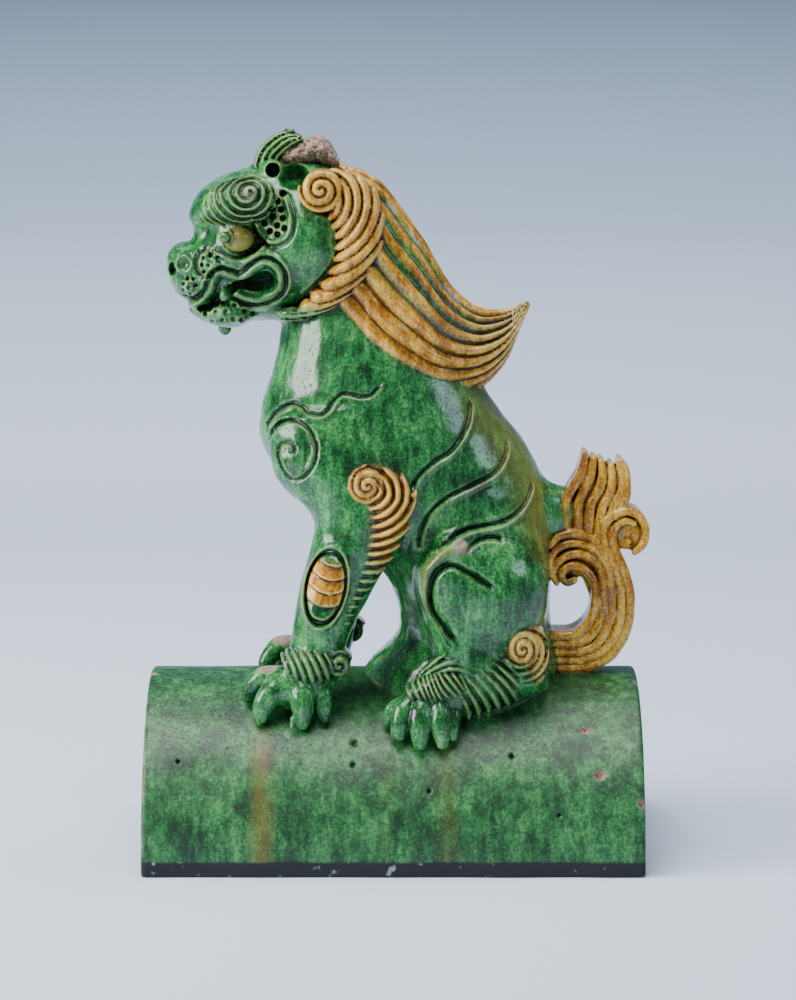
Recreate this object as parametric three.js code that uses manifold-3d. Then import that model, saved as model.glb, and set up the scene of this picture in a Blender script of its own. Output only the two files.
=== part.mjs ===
// Ridge beast ornament: a half-round roof ridge tile with a seated mythical beast on it,
// built up in one stoneware body, lead glazed in green and amber and fired as one piece.
// Millimetres, +Z up. The beast faces -X and its left flank faces -Y. The modelling frame
// has its origin under the middle of the tile, and the last step moves the solid so that
// the middle of its bounding box is over the origin.

import * as THREE from 'three';
import { mergeVertices } from 'three/addons/utils/BufferGeometryUtils.js';
import Module from 'manifold-3d';

const wasm = await Module();
wasm.setup();

// ---- driving dimensions -------------------------------------------------------------

const NODE_NAME = 'ridge_beast';
const GLAZE_GREEN = 0x2f6b35;
const GLAZE_ROUGHNESS = 0.25;

const TILE_LENGTH = 280;
const TILE_RADIUS = 99;
const TILE_WALL = 16;
const TILE_ARC_STEPS = 24;

const BODY_SIDES = 18;
const LIMB_SIDES = 10;
const TUBE_SIDES = 5;

const MANE_STRANDS = 10;
const MANE_FLUTE_DEPTH = 2.4;
const CURL_PITCH = 6.5;
const CURL_RELIEF = 1.1;
const CURL_RINGS = 4;
const CURL_SIDES = 10;
const RIB_DEPTH = 1.3;
const TAIL_HALF_THICKNESS = 13;
const FAR_LEG_SETBACK = 6;

// the tail's small curl overhangs the end of the tile by this much
const TAIL_OVERHANG = 7.5;
const SHIFT_X = -TAIL_OVERHANG / 2;

// slivers along the joins are drawn together up to this edge length
const SHORTEST_EDGE = 2.2;
const COLLAPSE_PASSES = 4;
const MAX_FACE_TURN = 0.45;

const SIDES = [-1, 1];

// ---- small helpers ------------------------------------------------------------------

function vec(x, y, z) {
  return new THREE.Vector3(x, y, z);
}

function signedVolume(geometry) {
  const p = geometry.attributes.position;
  const index = geometry.index.array;
  const [a, b, c] = [vec(0, 0, 0), vec(0, 0, 0), vec(0, 0, 0)];
  let volume = 0;
  for (let i = 0; i < index.length; i += 3) {
    a.fromBufferAttribute(p, index[i]);
    b.fromBufferAttribute(p, index[i + 1]);
    c.fromBufferAttribute(p, index[i + 2]);
    volume += a.dot(b.cross(c)) / 6;
  }
  return volume;
}

// A closed geometry becomes a manifold solid. A mirrored one is turned right side out.
function solid(geometry) {
  const bare = geometry.clone();
  bare.deleteAttribute('normal');
  bare.deleteAttribute('uv');
  const merged = mergeVertices(bare, 1e-4);
  const triVerts = Uint32Array.from(merged.index.array);
  if (signedVolume(merged) < 0) {
    for (let i = 0; i < triVerts.length; i += 3) {
      [triVerts[i], triVerts[i + 1]] = [triVerts[i + 1], triVerts[i]];
    }
  }
  const vertProperties = Float32Array.from(merged.attributes.position.array);
  return new wasm.Manifold(new wasm.Mesh({ numProp: 3, vertProperties, triVerts }));
}

// Rings of points, all of one length, are skinned and closed by a fan at each end.
function skin(rings) {
  const sides = rings[0].length;
  const positions = rings.flat().flatMap((p) => [p.x, p.y, p.z]);
  const index = [];
  for (let r = 0; r + 1 < rings.length; r += 1) {
    for (let s = 0; s < sides; s += 1) {
      const next = (s + 1) % sides;
      const [a, b] = [r * sides + s, r * sides + next];
      index.push(a, b, b + sides, a, b + sides, a + sides);
    }
  }
  for (const r of [0, rings.length - 1]) {
    const middle = rings[r].reduce((sum, p) => sum.add(p), vec(0, 0, 0)).divideScalar(sides);
    const hub = positions.length / 3;
    positions.push(middle.x, middle.y, middle.z);
    for (let s = 0; s < sides; s += 1) {
      const [a, b] = [r * sides + s, r * sides + ((s + 1) % sides)];
      index.push(...(r === 0 ? [hub, b, a] : [hub, a, b]));
    }
  }
  const geometry = new THREE.BufferGeometry();
  geometry.setAttribute('position', new THREE.Float32BufferAttribute(positions, 3));
  geometry.setIndex(index);
  return geometry;
}

// A row of numbers that changes smoothly from station to station.
function smoothRow(rows, t) {
  const place = t * (rows.length - 1);
  const i = Math.min(Math.floor(place), rows.length - 2);
  const f = place - i;
  const before = rows[Math.max(i - 1, 0)];
  const after = rows[Math.min(i + 2, rows.length - 1)];
  return rows[i].map((b, k) => {
    const c = rows[i + 1][k];
    const [m0, m1] = [(c - before[k]) / 2, (after[k] - b) / 2];
    const d = b - c;
    return b + f * (m0 + f * (-3 * d - 2 * m0 - m1 + f * (2 * d + m0 + m1)));
  });
}

// A form given by its outline seen from the side. Each station has one edge point, the
// opposite edge point, the middle's distance from the centre plane and the half width.
// egg makes the section narrower towards the first edge, and relief carves its surface.
function form(rows, side, { steps = 3 * rows.length, sides = LIMB_SIDES, egg = 0, relief = null } = {}) {
  const rings = [];
  for (let n = 0; n <= steps; n += 1) {
    const t = n / steps;
    const [ax, az, bx, bz, away, half] = smoothRow(rows, t);
    const ring = [];
    for (let s = 0; s < sides; s += 1) {
      const angle = (2 * Math.PI * s) / sides;
      const [c, q] = [Math.cos(angle), Math.sin(angle)];
      const swell = relief ? relief(t, angle) : 0;
      const across = Math.hypot(bx - ax, bz - az) / 2;
      const grow = 1 + swell / Math.max(across, half);
      const x = (ax + bx) / 2 + (c * grow * (bx - ax)) / 2;
      const z = (az + bz) / 2 + (c * grow * (bz - az)) / 2;
      const y = side * (away + q * grow * half * (1 + egg * c));
      ring.push(vec(x, y, z));
    }
    rings.push(ring);
  }
  return solid(skin(rings));
}

// A round bar along a smooth curve, with its radius given along the way.
function bar(points, radius, { steps = 4 * points.length, sides = TUBE_SIDES } = {}) {
  const curve = new THREE.CatmullRomCurve3(points, false, 'centripetal');
  const frames = curve.computeFrenetFrames(steps, false);
  const rings = [];
  for (let n = 0; n <= steps; n += 1) {
    const t = n / steps;
    const middle = curve.getPointAt(t);
    const ring = [];
    for (let s = 0; s < sides; s += 1) {
      const angle = (2 * Math.PI * s) / sides;
      const out = frames.normals[n].clone().multiplyScalar(Math.cos(angle) * radius(t));
      out.addScaledVector(frames.binormals[n], Math.sin(angle) * radius(t));
      ring.push(out.add(middle));
    }
    rings.push(ring);
  }
  return solid(skin(rings));
}

function taper(root, tip) {
  return (t) => root + (tip - root) * t;
}

function ball(x, y, z, rx, ry, rz, turn = 0, sides = LIMB_SIDES) {
  const geometry = new THREE.SphereGeometry(1, sides, Math.round(sides * 0.6));
  geometry.rotateX(Math.PI / 2);
  geometry.scale(rx, ry, rz);
  geometry.rotateY(turn);
  geometry.translate(x, y, z);
  return solid(geometry);
}

// A spiral curl: a round domed boss facing sideways, with a ridge winding in to its middle.
// A curl that shows on both of its faces is carved on both.
function curl(x, y, z, radius, { start = 0, hand = 1, depth = 8, both = false } = {}) {
  const face = Math.sign(y) || 1;
  const rings = [];
  for (let r = both ? -CURL_RINGS : -1; r <= CURL_RINGS; r += 1) {
    const reach = radius * Math.cos((Math.PI / 2) * (r / (CURL_RINGS + 0.4)));
    const dome = depth * Math.sin((Math.PI / 2) * (r / CURL_RINGS));
    const ring = [];
    for (let s = 0; s < CURL_SIDES; s += 1) {
      const angle = (2 * Math.PI * s) / CURL_SIDES;
      const winding = Math.cos((2 * Math.PI * reach) / CURL_PITCH - hand * angle + start);
      const lift = dome + CURL_RELIEF * winding * Math.sign(r);
      ring.push(vec(x + reach * Math.cos(angle), y + face * lift, z + reach * Math.sin(angle)));
    }
    rings.push(ring);
  }
  return solid(skin(rings));
}

function join(parts) {
  return parts.flat(Infinity).reduce((sum, next) => sum.add(next));
}

function bothSides(make) {
  return SIDES.map((side) => make(side));
}

// Evenly spaced ribs along a form, count of them, raised by depth.
function ribs(count, depth) {
  return (t) => depth * Math.cos(2 * Math.PI * count * t);
}

// ---- the half-round tile --------------------------------------------------------------

function halfRound(radius, inner, length) {
  const shape = new THREE.Shape();
  shape.absarc(0, 0, radius, 0, Math.PI, false);
  if (inner > 0) {
    shape.absarc(0, 0, inner, Math.PI, 0, true);
  }
  shape.closePath();
  const geometry = new THREE.ExtrudeGeometry(shape, {
    depth: length,
    bevelEnabled: false,
    curveSegments: TILE_ARC_STEPS,
  });
  const along = new THREE.Matrix4().makeBasis(vec(0, 1, 0), vec(0, 0, 1), vec(1, 0, 0));
  geometry.applyMatrix4(along);
  geometry.translate(-length / 2, 0, 0);
  return solid(geometry);
}

// ---- body and neck ------------------------------------------------------------------

function makeTorso() {
  const rows = [
    [-58, 322, 2, 350, 0, 30],
    [-63, 300, 20, 318, 0, 35],
    [-68, 276, 42, 280, 0, 43],
    [-76, 248, 59, 252, 0, 49],
    [-72, 224, 76, 230, 0, 51],
    [-42, 196, 86, 207, 0, 52],
    [-18, 171, 90, 177, 0, 54],
    [-1, 148, 90, 150, 0, 55],
    [3, 122, 91, 124, 0, 56],
    [-16, 100, 96, 101, 0, 56],
    [-18, 72, 96, 72, 0, 56],
  ];
  return form(rows, 1, { steps: 13, sides: BODY_SIDES });
}

// ---- head ---------------------------------------------------------------------------

function makeSkull() {
  const rows = [
    [-129, 329, -126, 342, 0, 10],
    [-122, 314, -116, 348, 0, 21],
    [-106, 302, -105, 353, 0, 28],
    [-90, 301, -98, 376, 0, 34],
    [-76, 301, -81, 388, 0, 40],
    [-58, 303, -58, 393, 0, 43],
    [-40, 312, -36, 390, 0, 40],
    [-22, 330, -14, 376, 0, 30],
  ];
  return form(rows, 1, { steps: 10, sides: BODY_SIDES });
}

function makeFace(side) {
  const cheek = ball(-51, side * 22, 347, 27, 25, 30);
  const eyeball = ball(-87, side * 35, 351, 8, 8.5, 7.5, 0, 8);
  const pupil = ball(-94.5, side * 38, 351, 3.6, 4, 4, 0, 6);
  const whiskerPad = ball(-106, side * 21, 334, 9, 8, 8, 0, 8);
  const nostril = ball(-120, side * 10, 337, 7, 6, 6, 0, 6);
  const beard = ball(-102, side * 12, 309, 14, 13, 9, 0, 8);
  const lip = bar(
    [
      vec(-116, side * 22, 320),
      vec(-107, side * 28, 327),
      vec(-97, side * 33, 333),
      vec(-82, side * 38, 336),
      vec(-66, side * 43, 338),
      vec(-60, side * 44, 329),
      vec(-69, side * 42, 319),
      vec(-86, side * 36, 316),
      vec(-98, side * 32, 319),
    ],
    () => 3,
    { steps: 11, sides: 4 },
  );
  const browRows = [
    [-117, 359, -116, 365, 12, 8],
    [-108, 357, -108, 373, 19, 10],
    [-95, 360, -97, 381, 27, 11],
    [-84, 364, -84, 384, 33, 11],
    [-74, 368, -72, 383, 36, 9],
  ];
  const brow = form(browRows, side, { steps: 10, sides: 6, relief: ribs(5, RIB_DEPTH) });
  const browCurl = curl(-79, side * 38, 375, 9.5, { start: Math.PI, hand: -1, depth: 7 });
  return [cheek, eyeball, pupil, whiskerPad, nostril, beard, lip, brow, browCurl];
}

function makeMouthCut(side) {
  return ball(-81, side * 44, 326, 15, 11, 5.2, -0.12, 8);
}

function makeCrest() {
  const strandCount = 3;
  const strands = [];
  for (let n = 0; n < strandCount; n += 1) {
    const fan = n / (strandCount - 1);
    const lean = 9 - 18 * fan;
    strands.push(bar(
      [
        vec(-75 + 4 * fan, lean, 382),
        vec(-72 + 5 * fan, lean, 395),
        vec(-64 + 6 * fan, lean * 0.8, 403 + 2 * fan),
        vec(-54 + 5 * fan, lean * 0.6, 405),
      ],
      taper(5, 3),
      { steps: 5 },
    ));
  }
  const loop = curl(-66, 0, 391, 8, { start: 0, depth: 12, both: true });
  return [strands, loop];
}

// The horn is broken off short, so it ends in flat, angular faces.
function makeBrokenHorn() {
  const rows = [
    [-60, 384, -62, 400, 0, 12],
    [-46, 390, -50, 404, 0, 13],
    [-37, 392, -41, 406.5, 0, 12],
    [-31, 394, -34, 400, 0, 8],
  ];
  return form(rows, 1, { steps: 3, sides: 7 });
}

// ---- mane and the curled band behind the cheek ---------------------------------------

function makeMane() {
  const rows = [
    [-26, 388, -40, 304, 0, 40],
    [-7, 378, -29, 294, 0, 43],
    [7, 360, -14, 279, 0, 44],
    [19, 343, 5, 268, 0, 42],
    [32, 321, 25, 263, 0, 36],
    [47, 308, 46, 267, 0, 27],
    [63, 306.5, 62, 279, 0, 17],
    [74, 311, 73, 298, 0, 9],
    [77.5, 312, 77.5, 308, 0, 4],
  ];
  const flutes = (t, angle) => MANE_FLUTE_DEPTH * (1 - t) ** 0.3 * Math.cos(2 * MANE_STRANDS * angle);
  return form(rows, 1, { steps: 11, sides: 4 * MANE_STRANDS, egg: 0.3, relief: flutes });
}

function makeBand(side) {
  const rows = [
    [-39, 366, -33, 389, 36, 12],
    [-36, 361, -14, 382, 37, 13],
    [-32, 350, -5.5, 361, 38, 13],
    [-33, 337, -10, 338, 38, 13],
    [-42, 323, -21, 322, 36, 12],
    [-54, 312, -38, 309, 31, 11],
    [-65, 308, -60, 302, 24, 8],
  ];
  const band = form(rows, side, { steps: 18, sides: 6, relief: ribs(9, RIB_DEPTH) });
  const spiral = curl(-39.5, side * 42, 378, 12, { start: Math.PI, hand: -1, depth: 9 });
  return [band, spiral];
}

// ---- forelegs -----------------------------------------------------------------------

// the far foreleg stands a little further back than the near one
function setback(side) {
  return side > 0 ? FAR_LEG_SETBACK : 0;
}

function makeForeleg(side) {
  const back = setback(side);
  const rows = [
    [-67, 246, -16, 254, 33, 16],
    [-63, 222, 2, 230, 39, 20],
    [-46, 196, 11, 204, 43, 21],
    [-46 + back, 178, 4 + back, 182, 45, 20],
    [-52 + back, 158, -6 + back, 163, 46, 18],
    [-56 + back, 137, -18 + back, 141, 46, 16],
    [-58 + back, 122, -26 + back, 124, 47, 15],
    [-61 + back, 106, -30 + back, 106, 49, 14],
    [-59 + back, 92, -36 + back, 90, 50, 12],
  ];
  const leg = form(rows, side, { steps: 9 });
  const shoulder = ball(-38, side * 34, 228, 31, 22, 30, 0.3);
  const elbowRows = [
    [-20, 224, 2, 224, 56, 8],
    [-10, 205, 12, 207, 58, 9],
    [-11, 190, 8, 188, 58, 9],
    [-15, 172, 0, 172, 57, 8],
    [-20, 154, -9, 154, 56, 7],
    [-25, 136, -17, 137, 54, 6],
    [-28, 124, -22, 124, 52, 4],
  ];
  const elbowBand = form(elbowRows, side, { steps: 18, sides: 6, relief: ribs(9, RIB_DEPTH) });
  const elbowCurl = curl(-12, side * 59, 213, 12, { start: 0, hand: -1, depth: 7 });
  const medallionRows = [
    [-41, 180, -32, 180, 61, 4],
    [-48, 170, -26, 172, 61, 6],
    [-51, 158, -25, 160, 61, 7],
    [-49, 146, -30, 147, 60, 6],
    [-43, 138, -37, 138, 59, 4],
  ];
  const medallion = form(medallionRows, side, { steps: 10, sides: 6, relief: ribs(5, RIB_DEPTH) });
  return [leg, shoulder, elbowBand, elbowCurl, medallion, makeForepaw(side)];
}

function makeForepaw(side) {
  const back = setback(side);
  const pad = ball(-55 + back, side * 52, 99, 19, 14, 13, -0.1, 8);
  const toePaths = [
    [vec(-66 + back, side * 49, 103), vec(-78 + back, side * 49, 99), vec(-83 + back, side * 47, 90)],
    [vec(-62 + back, side * 56, 100), vec(-72 + back, side * 60, 94), vec(-75 + back, side * 62, 82)],
    [vec(-52 + back, side * 58, 101), vec(-51 + back, side * 64, 93), vec(-51 + back, side * 66, 79)],
    [vec(-44 + back, side * 57, 100), vec(-41 + back, side * 62, 92), vec(-41 + back, side * 64, 81)],
  ];
  const toes = toePaths.map((path) => bar(path, (t) => 7.2 - 2.4 * t * t, { steps: 2, sides: 6 }));
  const cuffRows = [
    [-63 + back, 118, -58 + back, 103, 50, 10],
    [-54 + back, 121, -51 + back, 101, 53, 15],
    [-44 + back, 121, -42 + back, 102, 54, 15],
    [-34 + back, 120, -32 + back, 106, 50, 12],
  ];
  const cuff = form(cuffRows, side, { steps: 8, sides: 6, relief: ribs(4, RIB_DEPTH) });
  const wristCurl = ball(-34 + back, side * 57, 113, 7, 6, 7, 0, 6);
  return [pad, toes, cuff, wristCurl];
}

// ---- hind legs ----------------------------------------------------------------------

function makeHindleg(side) {
  const haunch = ball(52, side * 38, 150, 36, 32, 39, 0.1, 10);
  const kneeRows = [
    [22, 182, 46, 190, 46, 15],
    [15, 168, 52, 176, 50, 18],
    [15, 152, 52, 150, 51, 18],
    [20, 134, 52, 132, 52, 16],
    [24, 119, 58, 117, 53, 15],
    [20, 98, 62, 98, 54, 15],
  ];
  const knee = form(kneeRows, side, { steps: 7, sides: 8 });
  const heelCurl = curl(73, side * 58, 122.5, 12.5, { start: -Math.PI / 2, hand: -1, depth: 9 });
  return [haunch, knee, heelCurl, makeHindfoot(side)];
}

function makeHindfoot(side) {
  const footRows = [
    [88, 96, 88, 116, 44, 9],
    [76, 92, 76, 120, 48, 14],
    [58, 86, 56, 118, 53, 15],
    [40, 82, 38, 114, 58, 15],
    [24, 82, 22, 104, 62, 14],
    [12, 80, 12, 96, 63, 11],
  ];
  const foot = form(footRows, side, { steps: 10, sides: 8, relief: ribs(5, RIB_DEPTH) });
  const toePaths = [
    [vec(2, side * 61, 88), vec(-3, side * 64, 84), vec(-4, side * 66, 77)],
    [vec(10, side * 65, 92), vec(4, side * 71, 84), vec(2, side * 75, 71)],
    [vec(17, side * 68, 92), vec(15, side * 76, 82), vec(15, side * 79, 67)],
    [vec(25, side * 68, 92), vec(26, side * 76, 82), vec(27, side * 79, 67)],
    [vec(32, side * 66, 90), vec(34, side * 73, 81), vec(35, side * 76, 69)],
  ];
  const toes = toePaths.map((path) => bar(path, (t) => 6.8 - 2 * t * t, { steps: 2, sides: 6 }));
  return [foot, toes];
}

// ---- tail ---------------------------------------------------------------------------

function makeTail() {
  const ridges = (t, angle) => 1.6 * Math.cos(8 * angle);
  const width = TAIL_HALF_THICKNESS;
  const plume = { steps: 9, sides: 16, relief: ridges };
  // the root sweeps out low behind the rump, turns up round the opening and meets the plume
  const stem = form([
    [80, 122, 82, 92, 0, width],
    [94, 121, 97, 94, 0, width],
    [104, 123, 118, 101, 0, width],
    [110, 130, 132, 114, 0, width],
    [111, 139, 138, 131, 0, width],
    [105, 149, 137.5, 148, 0, width],
    [100, 160, 134, 164, 0, width],
    [101, 172, 131, 176, 0, width],
  ], 1, plume);
  const plumeTop = form([
    [84, 170, 127, 166, 0, width],
    [87, 184, 132, 180, 0, width],
    [92, 198, 136, 195, 0, width - 1],
    [99, 212, 137, 206, 0, width - 2],
    [105, 222, 136, 217, 0, width - 4],
    [109, 227, 134, 222, 0, width - 7],
  ], 1, plume);
  const rootTop = form([
    [70, 224, 74, 190, 0, 22],
    [90, 211, 88, 180, 0, 16],
    [104, 206, 100, 176, 0, 12],
  ], 1, { steps: 4 });
  const sideCurl = curl(136, 0, 178.5, 11.5, { start: Math.PI, hand: 1, depth: 13, both: true });
  const lock = curl(100, 0, 163, 14, { start: 0, hand: -1, depth: 14, both: true });
  return [stem, plumeTop, rootTop, sideCurl, lock];
}

// ---- the whole piece ----------------------------------------------------------------

function makeRidgeBeast() {
  const tile = halfRound(TILE_RADIUS, TILE_RADIUS - TILE_WALL, TILE_LENGTH);
  const beast = join([
    makeTorso(),
    makeSkull(),
    makeCrest(),
    makeBrokenHorn(),
    makeMane(),
    makeTail(),
    bothSides(makeFace),
    bothSides(makeBand),
    bothSides(makeForeleg),
    bothSides(makeHindleg),
  ]);
  const channel = halfRound(TILE_RADIUS - TILE_WALL / 2, 0, 2 * TILE_LENGTH);
  const mouth = join(bothSides(makeMouthCut));
  return tile.add(beast.subtract(channel)).subtract(mouth);
}

function toGeometry(manifold) {
  const { vertProperties, triVerts } = manifold.getMesh();
  const geometry = new THREE.BufferGeometry();
  geometry.setAttribute('position', new THREE.Float32BufferAttribute(vertProperties, 3));
  geometry.setIndex([...triVerts]);
  return mergeVertices(geometry, 1e-4);
}

function faceNormal(a, b, c) {
  return b.clone().sub(a).cross(c.clone().sub(a)).normalize();
}

// The joins leave many slivers. Each edge under the limit is drawn together at its middle
// where that keeps the surface closed and turns no face by more than MAX_FACE_TURN.
function drawTogetherShortEdges(geometry, limit) {
  const source = geometry.attributes.position;
  const points = Array.from({ length: source.count }, (_, i) => vec(0, 0, 0).fromBufferAttribute(source, i));
  const faces = [];
  const around = points.map(() => new Set());
  for (let i = 0; i < geometry.index.count; i += 3) {
    const face = [0, 1, 2].map((k) => geometry.index.getX(i + k));
    face.forEach((v) => around[v].add(faces.length));
    faces.push(face);
  }
  const neighbours = (v) => new Set([...around[v]].flatMap((f) => faces[f]).filter((w) => w !== v));
  const keepsFacing = (v, other, middle) => [...around[v]].every((f) => {
    if (faces[f].includes(other)) {
      return true;
    }
    const before = faceNormal(...faces[f].map((w) => points[w]));
    const after = faceNormal(...faces[f].map((w) => (w === v ? middle : points[w])));
    return before.dot(after) > Math.cos(MAX_FACE_TURN);
  });
  const tryEdge = (a, b) => {
    const near = neighbours(a);
    const shared = [...neighbours(b)].filter((v) => near.has(v));
    const middle = points[a].clone().lerp(points[b], 0.5);
    if (shared.length !== 2 || !keepsFacing(a, b, middle) || !keepsFacing(b, a, middle)) {
      return;
    }
    points[a].copy(middle);
    for (const f of around[b]) {
      if (faces[f].includes(a)) {
        faces[f].forEach((v) => around[v].delete(f));
        faces[f] = null;
      } else {
        faces[f][faces[f].indexOf(b)] = a;
        around[a].add(f);
      }
    }
    around[b].clear();
  };
  for (let step = 1; step <= COLLAPSE_PASSES; step += 1) {
    for (let f = 0; f < faces.length; f += 1) {
      for (let k = 0; k < 3 && faces[f]; k += 1) {
        const [a, b] = [faces[f][k], faces[f][(k + 1) % 3]];
        if (points[a].distanceTo(points[b]) < (limit * step) / COLLAPSE_PASSES) {
          tryEdge(a, b);
        }
      }
    }
  }
  const result = new THREE.BufferGeometry();
  result.setAttribute('position', new THREE.Float32BufferAttribute(points.flatMap((p) => p.toArray()), 3));
  result.setIndex(faces.filter((face) => face).flat());
  return result;
}

const glazedStoneware = new THREE.MeshStandardMaterial({
  color: GLAZE_GREEN,
  roughness: GLAZE_ROUGHNESS,
  metalness: 0,
  flatShading: true,
});

const joined = toGeometry(makeRidgeBeast());
const ridgeBeast = new THREE.Mesh(drawTogetherShortEdges(joined, SHORTEST_EDGE), glazedStoneware);
ridgeBeast.name = NODE_NAME;
ridgeBeast.position.set(SHIFT_X, 0, 0);

const group = new THREE.Group();
group.add(ridgeBeast);

export default group;
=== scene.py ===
# Ridge beast ornament: a half-round roof ridge tile with a seated mythical beast on it,
# one stoneware body under a lead glaze in green and amber, with the horn broken off short.
#
# The piece is modelled as wet clay. Every form is given by its distance to a point, forms
# are pressed together in turn, and lines, pits and chips are cut last. The surface where
# the distance is zero becomes one closed mesh. All lengths are millimetres in the tile's
# own frame (origin under the middle of the tile, beast facing -X, left flank facing -Y)
# until the mesh is made, and "out" is the distance from the centre plane.

import math

import bpy
import numpy as np
import openvdb
from concurrent.futures import ThreadPoolExecutor
from types import SimpleNamespace
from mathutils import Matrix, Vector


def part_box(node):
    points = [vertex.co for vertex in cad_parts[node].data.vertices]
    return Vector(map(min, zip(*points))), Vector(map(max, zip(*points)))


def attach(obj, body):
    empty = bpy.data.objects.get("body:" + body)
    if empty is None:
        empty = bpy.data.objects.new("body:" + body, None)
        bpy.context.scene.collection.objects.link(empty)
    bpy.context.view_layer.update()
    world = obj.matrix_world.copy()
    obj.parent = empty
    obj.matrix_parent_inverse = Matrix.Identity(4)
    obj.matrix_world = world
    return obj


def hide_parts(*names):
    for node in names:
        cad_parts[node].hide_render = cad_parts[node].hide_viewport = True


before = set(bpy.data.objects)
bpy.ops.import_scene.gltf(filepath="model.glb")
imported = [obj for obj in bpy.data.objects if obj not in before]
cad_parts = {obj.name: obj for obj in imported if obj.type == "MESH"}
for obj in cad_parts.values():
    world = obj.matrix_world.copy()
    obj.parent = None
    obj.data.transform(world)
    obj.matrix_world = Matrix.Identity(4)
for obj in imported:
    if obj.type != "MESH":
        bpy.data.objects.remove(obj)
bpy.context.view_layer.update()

NODE = "ridge_beast"
MM = 0.001

TILE_LENGTH = 280.0
TILE_RADIUS = 99.0
TILE_WALL = 16.0
FAR_LEG_SETBACK = 6.0

VOXEL = 1.0
FACE_LIMIT = 194000
GRID_LOW = np.array([-152.0, -108.0, -8.0])
GRID_HIGH = np.array([160.0, 108.0, 424.0])
COARSEST = 8.0
CHUNK = 26.0
FAR = 1000.0
TAGS = ("amber", "bare", "pale")
TAG_FEATHER = 1.6
END_ROUNDING = 3.0
BOSS_BACK = 8.0
WORKERS = 4

# ---- curves and profiles ----


def ramp(value, start, end):
    """0 before start, 1 after end, with a smooth rise between them."""
    t = np.clip((value - start) / (end - start), 0.0, 1.0)
    return t * t * (3.0 - 2.0 * t)


def crest(phase):
    """Round crests and narrow grooves, from 0 to 1, one for each whole turn of phase."""
    return np.abs(np.sin(np.pi * phase))


def wave(phase):
    """Crests and grooves of equal width, from 0 to 1, with a crest at each whole turn."""
    return 0.5 + 0.5 * np.cos(2.0 * np.pi * phase)


def bell(offset, width):
    """1 at offset 0, and falling smoothly to nearly 0 at twice the width."""
    return np.exp(-((offset / width) ** 2))


def smooth_max(a, b, blend):
    """The greater of two distances, rounded over where they are within blend of each other."""
    soft = np.maximum(blend - np.abs(a - b), 0.0)
    return np.maximum(a, b) + soft * soft / (4.0 * blend)


def refine(rows, finer):
    """More stations between the given ones, on a smooth curve through all of them."""
    rows = np.asarray(rows, float)
    padded = np.vstack([2 * rows[0] - rows[1], rows, 2 * rows[-1] - rows[-2]])
    a, b, c, d = padded[:-3, None], padded[1:-2, None], padded[2:-1, None], padded[3:, None]
    t = (np.arange(finer) / finer)[None, :, None]
    curve = b + 0.5 * t * ((c - a) + t * (2 * a - 5 * b + 4 * c - d + t * (3 * b - a - 3 * c + d)))
    return np.vstack([curve.reshape(-1, rows.shape[1]), rows[-1:]])


SWELL = np.random.default_rng(20)
SWELL_WAVES = SWELL.normal(size=(9, 3))
SWELL_WAVES *= (2 * math.pi * SWELL.uniform(0.6, 1.5, (9, 1))) / np.linalg.norm(
    SWELL_WAVES, axis=1, keepdims=True
)
SWELL_START = SWELL.uniform(0, 2 * math.pi, 9)


def unevenness(clay, size):
    """The slight swelling of handwork, from about -1 to 1, in lumps of the given size."""
    total = 0.0
    for (kx, ky, kz), start in zip(SWELL_WAVES / size, SWELL_START):
        total = total + np.sin(kx * clay.x + ky * clay.y + kz * clay.z + start)
    return total / 4.0


# ---- forms ----
# Each form knows the box it lies in and measures its distance from points. "Out" counts
# from the centre plane, so a form that is off the plane stands on both sides of it.


class Ball:
    def __init__(self, centre, radii, lean=0.0):
        self.centre = centre
        self.radii = radii
        self.lean = lean
        reach = max(radii[0], radii[2])
        reaches = (reach, radii[1], reach) if lean else radii
        self.low = [c - r for c, r in zip(centre, reaches)]
        self.high = [c + r for c, r in zip(centre, reaches)]

    def measure(self, x, out, z):
        dx, dz = x - self.centre[0], z - self.centre[2]
        rx, ry, rz = self.radii
        c, s = math.cos(self.lean), math.sin(self.lean)
        a = (c * dx + s * dz) / rx
        b = (out - self.centre[1]) / ry
        e = (c * dz - s * dx) / rz
        k0 = np.sqrt(a * a + b * b + e * e)
        k1 = np.sqrt((a / rx) ** 2 + (b / ry) ** 2 + (e / rz) ** 2)
        d = k0 * (k0 - 1.0) / np.maximum(k1, 1e-6)
        return SimpleNamespace(d=d, x=x, out=out, z=z, a=a, b=b, e=e)


class Cord:
    """A round bar along a smooth path in space."""

    def __init__(self, points, radii, finer=3):
        points = np.asarray(points, float)
        radii = np.broadcast_to(np.asarray(radii, float), len(points))
        table = refine(np.column_stack([points, radii]), finer)
        self.path, self.radii = table[:, :3], table[:, 3]
        self.low = list(self.path.min(0) - self.radii.max())
        self.high = list(self.path.max(0) + self.radii.max())

    def measure(self, x, out, z):
        best = np.full(len(x), FAR)
        for k in range(len(self.path) - 1):
            start, step = self.path[k], self.path[k + 1] - self.path[k]
            dx, dy, dz = x - start[0], out - start[1], z - start[2]
            f = np.clip((dx * step[0] + dy * step[1] + dz * step[2]) / step.dot(step), 0, 1)
            dx, dy, dz = dx - f * step[0], dy - f * step[1], dz - f * step[2]
            gap = np.sqrt(dx**2 + dy**2 + dz**2)
            gap -= self.radii[k] + f * (self.radii[k + 1] - self.radii[k])
            best = np.minimum(best, gap)
        return SimpleNamespace(d=best, x=x, out=out, z=z)


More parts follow.
